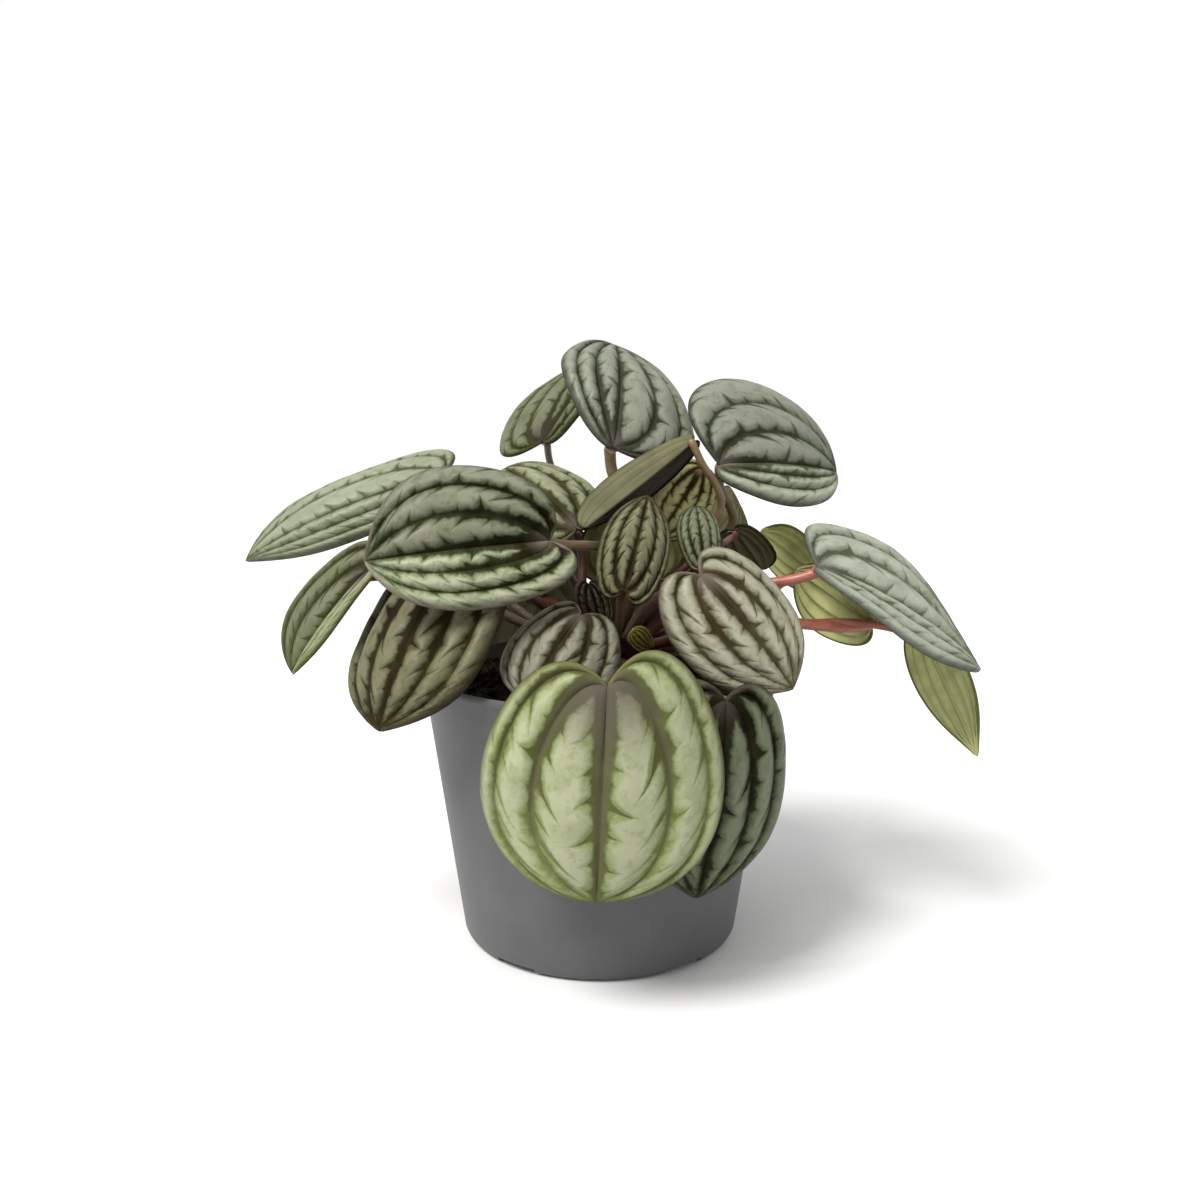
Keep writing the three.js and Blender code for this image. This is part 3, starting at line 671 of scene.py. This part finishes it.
# %% [markdown]
# The bands between the veins are puffed up and the veins lie sunken in grooves. From
# each vein short side veins slant towards the tip and tie the band down every few
# millimetres, so it looks quilted. `spurs` finds them: it counts cells along the line,
# with a wander so that they are uneven, and says how near a point is to the next side
# vein. `relief` adds bands, quilting and a wavy margin as a lift in millimetres, fading
# to nothing at joint and tip where all lines meet.

# %% Relief of the upper side
CELL = 8.5  # from one side vein to the next along a vein, on a large leaf, mm
SLANT = 0.8  # how far a side vein runs on for each mm that it goes out
WANDER = ((0.8, 0.33), (0.35, 0.71))  # two swings of the even steps: size in mm, pace
REACH = (0.12, 0.24)  # how far a side vein goes, in bands: at least, and at most on top
CALM = ((6.0, 20.0), (0.0, 1.0))  # no side veins near the joint: share of them against mm run
LAST_LANE = 2.0


def count_bands(leaf, t):
    """Pattern place of the line t: 0 on the midrib, 1 and 2 on the side veins, 3 at the margin."""
    return np.sign(t) * np.interp(np.abs(t), (0.0, *leaf["veins"], 1.0), (0.0, 1.0, 2.0, 3.0))


def spurs(bands, run, span):
    """How deep in the groove of a side vein a point lies, 0 to 1."""
    share, side = np.abs(bands), np.sign(bands)
    lane = np.minimum(np.floor(share), LAST_LANE)
    (swing, swing_pace), (shake, shake_pace) = WANDER
    walk = run + swing * np.sin(swing_pace * run + 2.1 * lane + 1.3 * side)
    walk = walk + shake * np.sin(shake_pace * run + 4.0 * lane - side)
    deep = 0 * share
    for start, far in ((0.0, (share - lane) * span), (0.5, (lane + 1 - share) * span)):
        phase = (walk - SLANT * far) / CELL + start
        close = 1 - 2 * np.abs(phase - np.round(phase))
        pick = 0.5 + 0.5 * np.sin(2.4 * np.round(phase) + 1.7 * lane + side)
        reach = (REACH[0] + REACH[1] * pick**3) * span * np.interp(run, *CALM)
        deep = np.maximum(deep, close**2 * (1 - far / np.maximum(reach, 0.5)).clip(0, 1))
    return deep


def relief(leaf, s, t, flat_x, flat_y, deep):
    env = (4 * s * (1 - s)).clip(0, 1) ** 0.6
    puff = np.abs(np.sin(np.pi * count_bands(leaf, t))) ** 0.6
    width = leaf["width"]
    wave = EDGE_WAVE * width * t * t * np.sin(13 * s + width + 2 * t)
    dimple = np.sin(0.31 * flat_x + 4 * t) * np.sin(0.47 * flat_y - 0.2 * flat_x + 3)
    return env * (wave + width * puff * (RIB_HEIGHT + DIMPLE * dimple - GROOVE * deep))


# %% [markdown]
# ## One blade
# A blade starts as a flat grid. Its x runs from joint to tip and its y from margin to
# margin, so each vertex knows its `s` and `t`. The vertices are laid on the curved
# surface, those that meet in the joint and in the tip are merged, the normals are turned
# to the upper side, and a Solidify modifier gives the thickness and the underside its
# own material.
#
# The finish later needs to know where on the leaf it is. So each vertex keeps two small
# sets of numbers: its place in the pattern of bands, its lightness and how wide one band
# is there, and how far it is along its line and from the joint. Lengths are in
# millimetres of a large leaf, so that a small leaf has the same pattern, only finer.

# %% Model one blade
GRIDS = ((10, 26, 24), (30, 48, 44), (math.inf, 84, 80))  # below this width: steps along, across
LARGE_LEAF, SMALLEST_SCALE, LARGEST_SCALE = 60, 0.3, 1.15


def store(mesh, name, values):
    layer = mesh.attributes.new(name, "FLOAT_VECTOR", "POINT")
    layer.data.foreach_set("vector", np.ascontiguousarray(values, dtype=np.float32).ravel())


def model_blade(leaf, top_paint, under_paint):
    steps_along, steps_across = next(grid[1:] for grid in GRIDS if leaf["width"] < grid[0])
    start_clean()
    bpy.ops.mesh.primitive_grid_add(x_subdivisions=steps_along, y_subdivisions=steps_across, size=2)
    blade = bpy.context.object
    mesh = blade.data
    flat = np.array([v.co[:] for v in mesh.vertices])
    s = (0.5 * (flat[:, 0] + 1)).clip(0, 1)
    t = flat[:, 1].clip(-1, 1)
    length = blade_frame(leaf)["length"]
    x, y = outline(leaf, length, s, t)
    step = 1e-3
    xs, ys = outline(leaf, length, (s + step).clip(0, 1), t)
    bands = count_bands(leaf, t)
    inner_t = t - np.where(t < 0, -step, step)
    xt, yt = outline(leaf, length, s, inner_t)
    along_step = np.stack([xs - x, ys - y], 1)
    along_step /= np.maximum(1e-9, np.linalg.norm(along_step, axis=1))[:, None]
    out_step = np.stack([x - xt, y - yt], 1)
    span = np.abs(out_step[:, 0] * along_step[:, 1] - out_step[:, 1] * along_step[:, 0])
    span /= np.maximum(1e-6, np.abs(bands - count_bands(leaf, inner_t)))
    run = np.zeros_like(s)
    for share in np.linspace(0.02, 1, 50):
        x1, y1 = outline(leaf, length, s * share, t)
        x0, y0 = outline(leaf, length, s * (share - 0.02), t)
        run += np.hypot(x1 - x0, y1 - y0)
    scale = min(LARGEST_SCALE, max(SMALLEST_SCALE, leaf["width"] / LARGE_LEAF))
    run, span = run / scale, span / scale
    deep = spurs(bands, run, span)
    points = lay_on_blade(leaf, x, y, relief(leaf, s, t, x, y, deep), t) * MM
    mesh.vertices.foreach_set("co", points.astype(np.float32).ravel())
    store(mesh, "leaf_place", np.stack([bands, sided(leaf["tone"], t), span], 1))
    store(mesh, "leaf_mm", np.stack([run, np.hypot(x, y) / scale, 0 * run], 1))
    mesh.update()
    bpy.ops.object.mode_set(mode="EDIT")
    bpy.ops.mesh.select_all(action="SELECT")
    bpy.ops.mesh.remove_doubles(threshold=0.00001)
    bpy.ops.mesh.normals_make_consistent(inside=False)
    bpy.ops.object.mode_set(mode="OBJECT")
    middle = Vector(points[len(points) // 2])
    middle_face = min(mesh.polygons, key=lambda p: (p.center - middle).length)
    if middle_face.normal.dot(blade_frame(leaf)["up"]) < 0:
        mesh.flip_normals()
    mesh.materials.append(top_paint)
    mesh.materials.append(under_paint)
    thick = blade.modifiers.new("flesh", "SOLIDIFY")
    thick.thickness = BLADE_THICKNESS * MM
    thick.offset = 0
    thick.material_offset = 1
    thick.material_offset_rim = 0
    apply_all(blade)
    only(blade)
    bpy.ops.object.shade_smooth()
    node = "leaf_" + leaf["name"]
    return settle(blade, "blade_" + leaf["name"], node, node)


# %% [markdown]
# ## The finish of a blade
# Every leaf of this plant has the same pattern and its own tone: silvery bands between
# dark veins. The pattern is built from distances in millimetres to the nearest vein:
#
# - the band is silver in its middle and greener and darker near the veins, partly its own
#   colour and partly painted shade in the grooves, with soft blotches;
# - each vein lies in a dark stripe that narrows towards the tip, and its edges are
#   feathered by the side veins, which slant to the tip and run out into thin points; the
#   dark is partly the vein's own colour and partly painted shade in its sunken groove;
# - on some leaves the stripes of the side veins fade on their way (fade);
# - the midrib may have a taupe core, the joint is flushed grey purple, and a thin line
#   of its own tone follows the margin.
#
# One function makes it for a set of tones, and the leaves share a handful of sets. Each
# leaf's tone then makes its colour lighter or darker: partly its own lightness and partly
# painted light and shade.

# %% Upper side of a blade
# The sets shade and dark are darker colours for leaves deep in the plant: partly their own colour,
# partly painted shade.
LOOKS = {
    "lime": dict(silver=(192, 196, 160), band=(142, 156, 94), rim=(90, 92, 52),
        core=(112, 104, 84), joint=(102, 95, 86), margin=(122, 122, 78), stripe=1.45,
        show_core=0.85, flush=22.0, fade=0.6),
    "silver": dict(silver=(172, 174, 148), band=(92, 104, 66), rim=(26, 22, 6), core=(58, 48, 28),
        joint=(112, 104, 92), margin=(124, 116, 102), stripe=1.5, show_core=0.25, flush=10.0),
    "sage": dict(silver=(160, 162, 134), band=(102, 112, 68), rim=(48, 44, 22), core=(78, 70, 48),
        joint=(104, 96, 84), margin=(98, 96, 76), stripe=1.1, show_core=0.4, flush=9.0),
    "blue": dict(silver=(165, 168, 150), band=(110, 120, 96), rim=(54, 55, 38), core=(80, 76, 60),
        joint=(104, 100, 94), margin=(88, 90, 78), stripe=1.1, show_core=0.4, flush=10.0),
    "pale": dict(silver=(162, 168, 142), band=(126, 138, 102), rim=(78, 78, 46),
        core=(94, 90, 68), joint=(110, 106, 94), margin=(104, 104, 84), stripe=0.85,
        show_core=0.4, flush=9.0),
    "mist": dict(silver=(164, 168, 153), band=(124, 132, 112), rim=(74, 82, 64),
        core=(92, 94, 82), joint=(104, 104, 100), margin=(96, 100, 90), stripe=0.85,
        show_core=0.4, flush=9.0),
    "pink": dict(silver=(182, 182, 158), band=(126, 122, 94), rim=(58, 50, 29), core=(92, 80, 62),
        joint=(120, 108, 98), margin=(128, 116, 102), stripe=1.15, show_core=0.5, flush=12.0),
    "umber": dict(silver=(156, 154, 118), band=(96, 94, 58), rim=(40, 31, 10), core=(76, 62, 42),
        joint=(88, 72, 56), margin=(92, 82, 60), stripe=1.45, show_core=0.5, flush=10.0),
    "shade": dict(silver=(132, 140, 110), band=(80, 90, 60), rim=(26, 22, 8), core=(44, 38, 24),
        joint=(70, 64, 56), margin=(76, 72, 58), stripe=1.25, show_core=0.3, flush=8.0),
    "young": dict(silver=(150, 142, 70), band=(122, 112, 44), rim=(98, 88, 34),
        core=(104, 92, 40), joint=(96, 80, 44), margin=(112, 100, 50), stripe=0.6, show_core=0.3,
        flush=5.0),
    "olive": dict(silver=(134, 130, 90), band=(86, 82, 46), rim=(22, 16, 2), core=(44, 35, 16),
        joint=(88, 76, 60), margin=(94, 88, 54), stripe=1.2, show_core=0.3, flush=8.0),
    "dark": dict(silver=(72, 60, 32), band=(54, 44, 24), rim=(24, 18, 6), core=(40, 31, 18),
        joint=(54, 38, 28), margin=(50, 40, 24), stripe=1.0, show_core=0.3, flush=6.0),
}
ROOM_LIGHT = 1.9
TAPER = ((4.0, 46.0), (1.75, 0.62))  # width of a stripe against mm run, times its look's
VEIN_HALF, VEIN_LOSS = 1.5, 0.42  # half width at the midrib, and how much less each vein has


def cell_edges(w, share, side, run, span, fray, stripe):
    """How far in mm a point is inside a puff and clear of a dark line, and its distance to
    the nearest vein in widths of that stripe. The same sums as in `spurs`, as nodes."""
    lane = w.math("MINIMUM", w.math("FLOOR", share), LAST_LANE)
    (swing_size, swing_pace), (shake_size, shake_pace) = WANDER
    swing = w.add(w.times(run, swing_pace), w.times(lane, 2.1))
    swing = w.math("SINE", w.add(swing, w.times(side, 1.3)))
    shake = w.add(w.times(run, shake_pace), w.times(lane, 4.0))
    shake = w.math("SINE", w.less(shake, side))
    walk = w.add(run, w.times(swing, swing_size))
    walk = w.add(walk, w.times(shake, shake_size))
    inward = w.less(share, lane)
    taper = w.ramp(run, *TAPER[0], *(stripe * width for width in TAPER[1]), smooth=False)
    puffs, stripes, grooves = [], [], []
    for start, vein, near in ((0.0, lane, inward),
                              (0.5, w.add(lane, 1.0), w.less(1.0, inward))):
        far = w.times(near, span)
        phase = w.math("DIVIDE", w.less(walk, w.times(far, SLANT)), CELL)
        phase = w.add(phase, start)
        close = w.less(1.0, w.times(w.math("PINGPONG", phase, 0.5), 2.0))
        pick = w.times(w.math("ROUND", phase), 2.4)
        pick = w.add(w.add(pick, w.times(lane, 1.7)), side)
        pick = w.math("MULTIPLY_ADD", w.math("SINE", pick), 0.5, 0.5)
        pick = w.math("POWER", pick, 3.0)
        reach = w.times(w.math("MULTIPLY_ADD", pick, REACH[1], REACH[0]), span)
        reach = w.times(reach, w.ramp(run, *CALM[0], *CALM[1], smooth=False))
        half_width = w.times(w.math("MULTIPLY_ADD", vein, -VEIN_LOSS, VEIN_HALF), taper)
        swollen = w.math("MULTIPLY_ADD", reach, w.math("POWER", close, 2.5), half_width)
        thin = w.math("MULTIPLY_ADD", reach, w.math("POWER", close, 6.0), half_width)
        for found, edge in ((puffs, swollen), (stripes, thin)):
            found.append(w.less(w.add(far, fray), edge))
        grooves.append(w.math("DIVIDE", far, half_width))
    return (w.math("MINIMUM", *found) for found in (puffs, stripes, grooves))


def blade_top(name):
    look = LOOKS[name]
    tone = {key: srgb(*look[key], ROOM_LIGHT)
            for key in ("silver", "band", "rim", "core", "joint", "margin")}
    w = Wiring("blade_" + name)
    here = w.place()
    bands, light, span = w.split(w.attribute("leaf_place").outputs["Vector"])
    run, joint_far, _ = w.split(w.attribute("leaf_mm").outputs["Vector"])
    share = w.math("ABSOLUTE", bands)
    side = w.math("SIGN", bands)
    blotch = w.noise(here, 95, 3, 0.6)
    grain = w.noise(here, 520, 3, 0.65)
    mottle = w.noise(here, 300, 3, 0.65)
    fray = w.math("MULTIPLY_ADD", w.add(mottle, blotch), 2.4, -2.4)
    in_puff, off_line, groove = cell_edges(w, share, side, run, span, fray, look["stripe"])

    # Darker and greener towards the veins and side veins, lighter in the middle of each puff:
    # partly the band's own colour, partly painted shade in the grooves.
    soft = w.add(in_puff, w.math("MULTIPLY_ADD", blotch, 4.0, -2.0))
    colour = w.mix(w.ramp(soft, -0.5, 2.3), tone["band"], tone["silver"])
    colour = w.mix(w.ramp(blotch, 0.42, 0.66, 0.0, 0.4), colour, tone["band"])
    colour = w.mix(w.ramp(mottle, 0.5, 0.66, 0.0, 0.45), colour, tone["band"])
    colour = w.mix(w.ramp(grain, 0.42, 0.7, 0.0, 0.35), colour, tone["silver"])
    stripe = w.ramp(off_line, -0.7, 0.7, 1.0, 0.0)
    strength = w.ramp(run, 8.0, 60.0, 1.0, 0.8)
    strength = w.times(strength, w.ramp(blotch, 0.36, 0.66, 1.0, 0.8))
    lost = w.ramp(run, 26.0, 58.0, 0.0, look.get("fade", 0.1))
    lost = w.times(w.ramp(share, 0.35, 0.65), lost)
    strength = w.times(strength, w.less(1.0, lost))
    # The dark stripe: the vein's own dark colour with painted shade of its sunken groove in it.
    colour = w.mix(w.times(stripe, strength), colour, tone["rim"])
    inner_vein = w.ramp(share, 1.3, 1.7, 1.0, 0.25)
    groove = w.add(groove, w.times(fray, 0.25))
    worn = w.ramp(blotch, 0.36, 0.62, 0.55, 1.0)
    heart = w.times(w.ramp(groove, 0.3, 1.0, look["show_core"], 0.0), inner_vein)
    heart = w.times(heart, w.times(worn, strength))
    colour = w.mix(heart, colour, tone["core"])
    flush = w.add(joint_far, w.times(fray, 1.4))
    flush = w.add(flush, w.ramp(share, 0.7, 1.3, 0.0, 0.5 * look["flush"]))
    colour = w.mix(w.ramp(flush, 1.0, look["flush"], 0.85, 0.0), colour, tone["joint"])
    to_margin = w.times(w.less(3.0, share), span)
    colour = w.mix(w.ramp(to_margin, 0.4, 1.8, 0.85, 0.0), colour, tone["margin"])
    # The leaf's tone scales its colour: partly its own lightness, partly painted light and shade.
    colour = w.shade(colour, light)
    rough = w.add(w.ramp(grain, 0.3, 0.7, 0.4, 0.52), w.times(stripe, 0.1))
    height = w.add(w.ramp(in_puff, -1.5, 2.5), w.times(grain, 0.2))
    normal = w.bump(height, 0.0007, 0.7)
    # Leaves given painted shade by a low tone also get less sheen.
    sheen = w.times(w.ramp(stripe, 0.0, 1.0, 0.2, 0.03), w.math("MINIMUM", light, 1.0))
    return w.finish(Base_Color=colour, Roughness=rough, Specular_IOR_Level=sheen, Normal=normal)


# %% [markdown]
# The underside is paler and matt, with soft clouds in it. The midrib and the side veins
# stand out of it a little, as thin cords.

# %% Underside of a blade
def blade_under(name, main, cord):
    w = Wiring("under_" + name)
    here = w.place()
    bands, light, span = w.split(w.attribute("leaf_place").outputs["Vector"])
    share = w.math("ABSOLUTE", bands)
    cloud = w.noise(here, 110, 3, 0.6)
    grain = w.noise(here, 900, 2, 0.5)
    near = None
    for line, half_width in enumerate((1.0, 0.55, 0.3)):
        far = w.times(w.math("ABSOLUTE", w.less(share, float(line))), span)
        rib = w.ramp(far, 0.3 * half_width, 1.3 * half_width, 1.0, 0.0)
        near = rib if near is None else w.math("MAXIMUM", near, rib)
    pale = tuple(min(1.0, 1.15 * v) for v in srgb(*main, ROOM_LIGHT))
    deep = tuple(0.8 * v for v in srgb(*main, ROOM_LIGHT))
    colour = w.mix(w.ramp(cloud, 0.3, 0.7), deep, pale)
    colour = w.mix(w.times(near, 0.55), colour, srgb(*cord, ROOM_LIGHT))
    # The tone scales the underside too: partly its own lightness, partly painted light and shade.
    colour = w.shade(colour, light)
    height = w.add(near, w.times(grain, 0.15))
    normal = w.bump(height, 0.0005, 0.6)
    return w.finish(Base_Color=colour, Roughness=w.ramp(grain, 0.3, 0.7, 0.5, 0.62),
                    Specular_IOR_Level=0.2, Normal=normal)


UNDER = {
    "lime": blade_under("lime", (208, 212, 144), (192, 190, 130)),
    "olive": blade_under("olive", (150, 148, 104), (122, 112, 78)),
    # A dark underside for the leaf deep in the crown: partly its own colour, partly painted shade.
    "dark": blade_under("dark", (48, 46, 28), (40, 34, 22)),
}
TOPS = {name: blade_top(name) for name in LOOKS}
UNDER_OF = {"olive": "olive", "umber": "olive", "sage": "olive", "shade": "olive", "dark": "dark"}

# %% Model all the blades
for one in LEAVES:
    model_blade(one, TOPS[one["look"]], UNDER[UNDER_OF.get(one["look"], "lime")])


# %% [markdown]
# ## The stalks
# The fleshy stalks rise from the crown, bow outwards under the weight of the leaves and
# meet each blade between its two lobes. A stalk is a curve with a round section, made
# into a mesh. It's thickest at its foot, slims to its measured radius and flares a
# little under the blade. Its path is the one of the solid in the frame.

# %% Stalk paths
CROWN_TOP = 100.0
ROOT_OUT, ROOT_DROP, ROOT_SPREAD, ROOT_PACE = 4, 8, 5, 0.618  # where on the crown they start
APPROACH, SEAT = 7, 0.35  # the straight run under the blade, and how near its end comes


def stalk_path(leaf, k):
    blade = blade_frame(leaf)
    turn = blade["bend"] / 2
    normal = blade["up"] * math.cos(turn) - blade["along"] * math.sin(turn)
    along = blade["along"] * math.cos(turn) + blade["up"] * math.sin(turn)
    stalk = leaf["stalk"]
    arrive = unit(Vector(stalk["arrive"])) if "arrive" in stalk else along * 0.6 + normal * 0.8
    rim = stalk["radius"] * math.sqrt(max(0, 1 - arrive.dot(normal) ** 2))
    clear = BLADE_THICKNESS / 2 + 1.25 * FIT_GAP + rim - stalk.get("nearer", 0)
    end = leaf["joint"] - normal * clear
    azimuth = math.atan2(leaf["joint"].y, leaf["joint"].x)
    height = CROWN_TOP - ROOT_DROP + ROOT_SPREAD * ((k * ROOT_PACE) % 1)
    root = Vector((ROOT_OUT * math.cos(azimuth), ROOT_OUT * math.sin(azimuth), height))
    before = end - arrive * APPROACH
    lift = end - root
    middle = root + lift * 0.45 + Vector((0, 0, 0.12 * lift.length))
    if "via" in stalk:
        middle = Vector(stalk["via"])
    return [root, middle, before, end], leaf["joint"] - normal * SEAT


def through(points, count):
    """A smooth line through the points: a Catmull-Rom curve with square-root spacing."""
    first = points[0] * 2 - points[1]
    last = points[-1] * 2 - points[-2]
    chain = [first, *points, last]
    line = []
    parts = len(points) - 1
    for n in range(count):
        place = n / (count - 1) * parts
        i = min(int(place), parts - 1)
        p = chain[i : i + 4]
        knots = [0.0]
        for a, b in zip(p, p[1:]):
            knots.append(knots[-1] + max(1e-4, math.sqrt((b - a).length)))
        u = knots[1] + (place - i) * (knots[2] - knots[1])

        def blend(a, b, low, high):
            return a * ((high - u) / (high - low)) + b * ((u - low) / (high - low))

        a1, a2, a3 = (blend(p[j], p[j + 1], knots[j], knots[j + 1]) for j in range(3))
        b1 = blend(a1, a2, knots[0], knots[2])
        b2 = blend(a2, a3, knots[1], knots[3])
        line.append(blend(b1, b2, knots[1], knots[2]))
    return line


# %% [markdown]
# Colour runs along a stalk: dark maroon at its foot and lighter towards the blade, where
# the stalks on the right are salmon red, the upper ones olive brown and the far left ones
# grey purple. The dark foot is partly the stalk's own maroon and partly painted shade of
# the leaves above. Each vertex keeps its colour, and the finish adds lengthwise streaks
# and small pale dots.

# %% Stalk finish
STEM_TONES = {
    "maroon": (96, 58, 50),
    "salmon": (168, 96, 76),
    "pink": (140, 108, 96),
    "olive": (112, 92, 60),
    "grey": (116, 104, 92),
}


def stalk_finish():
    w = Wiring("fleshy_stalk")
    here = w.place()
    tone = w.attribute("stalk_colour").outputs["Color"]
    streaks = w.noise(here, 260, 4, 0.6)
    dots = w.noise(here, 1500, 2, 0.5)
    darker = w.mix(1.0, tone, (0.45, 0.4, 0.36), "MULTIPLY")
    colour = w.mix(w.ramp(streaks, 0.4, 0.7, 0.0, 0.5), tone, darker)
    colour = w.mix(w.ramp(dots, 0.66, 0.74, 0.0, 0.35), colour, srgb(196, 170, 140, 1.3))
    normal = w.bump(streaks, 0.0003, 0.5)
    return w.finish(Base_Color=colour, Roughness=w.ramp(dots, 0.3, 0.7, 0.38, 0.5), Normal=normal)


# %% Model one stalk
STALK_STEPS, FOOT_FLARE, TOP_FLARE, STALK_LIGHT = 22, 0.35, 0.12, 1.2


def model_stalk(leaf, k):
    path, seat = stalk_path(leaf, k)
    line = through(path, STALK_STEPS) + [seat]
    start_clean()
    bpy.ops.curve.primitive_nurbs_path_add(radius=0.01)
    stalk = bpy.context.object
    curve = stalk.data
    curve.splines.clear()
    spline = curve.splines.new("POLY")
    spline.points.add(len(line) - 1)
    for n, (point, place) in enumerate(zip(spline.points, line)):
        share = n / (len(line) - 1)
        point.co = (*(place * MM), 1)
        point.radius = 1 + FOOT_FLARE * (1 - share) ** 3 + TOP_FLARE * share**8
    curve.bevel_depth = leaf["stalk"]["radius"] * MM
    curve.bevel_resolution = 3
    curve.use_fill_caps = True
    only(stalk)
    bpy.ops.object.convert(target="MESH")
    stalk = bpy.context.object
    # The dark maroon foot: partly the stalk's own colour, partly painted shade under the leaves.
    base = np.array(srgb(52, 22, 18, STALK_LIGHT))
    top = np.array(srgb(*STEM_TONES[leaf["stem"]], STALK_LIGHT))
    places = np.array([v.co[:] for v in stalk.data.vertices]) / MM
    far = np.linalg.norm(places - as_array(path[0]), axis=1)
    share = (far / max(1.0, far.max())).clip(0, 1)[:, None] ** 0.8
    colour = np.concatenate([base * (1 - share) + top * share, np.ones((len(places), 1))], 1)
    layer = stalk.data.attributes.new("stalk_colour", "FLOAT_COLOR", "POINT")
    layer.data.foreach_set("color", colour.astype(np.float32).ravel())
    stalk.name = "stalk_part"
    return stalk


# %% [markdown]
# The crown is a short knobbly stump: rings raised like the pot wall, then pushed about.
# It's joined with the stalks into one piece, as they are one living thing.

# %% The crown, and everything joined
CROWN_RINGS = [(5.5, 70.6), (6.8, 73), (6.9, 80), (6.9, 86), (7.1, 91), (7.7, 94), (7.4, 97),
               (5.2, 99), (2, 99.8)]


def model_crown():
    crown = raise_wall(CROWN_RINGS, 40)
    bpy.ops.object.mode_set(mode="EDIT")
    bpy.ops.mesh.select_all(action="SELECT")
    bpy.ops.transform.vertex_random(offset=0.00035, seed=3)
    bpy.ops.object.mode_set(mode="OBJECT")
    layer = crown.data.attributes.new("stalk_colour", "FLOAT_COLOR", "POINT")
    # The crown's dark maroon: partly its own colour, partly painted shade under the leaves.
    colour = [*srgb(52, 28, 22, STALK_LIGHT), 1.0]
    layer.data.foreach_set("color", colour * len(crown.data.vertices))
    crown.name = "stalk_part"
    return crown


def model_stems():
    parts = [model_crown()] + [model_stalk(one, k) for k, one in enumerate(LEAVES)]
    start_clean()
    for part in parts:
        part.select_set(True)
    bpy.context.view_layer.objects.active = parts[0]
    bpy.ops.object.join()
    stems = bpy.context.object
    stems.data.materials.clear()
    stems.data.materials.append(stalk_finish())
    only(stems)
    bpy.ops.object.shade_smooth()
    return settle(stems, "stalks_and_crown", "stems", "stems")


model_stems()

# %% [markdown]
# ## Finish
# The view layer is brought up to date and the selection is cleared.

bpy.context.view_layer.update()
start_clean()
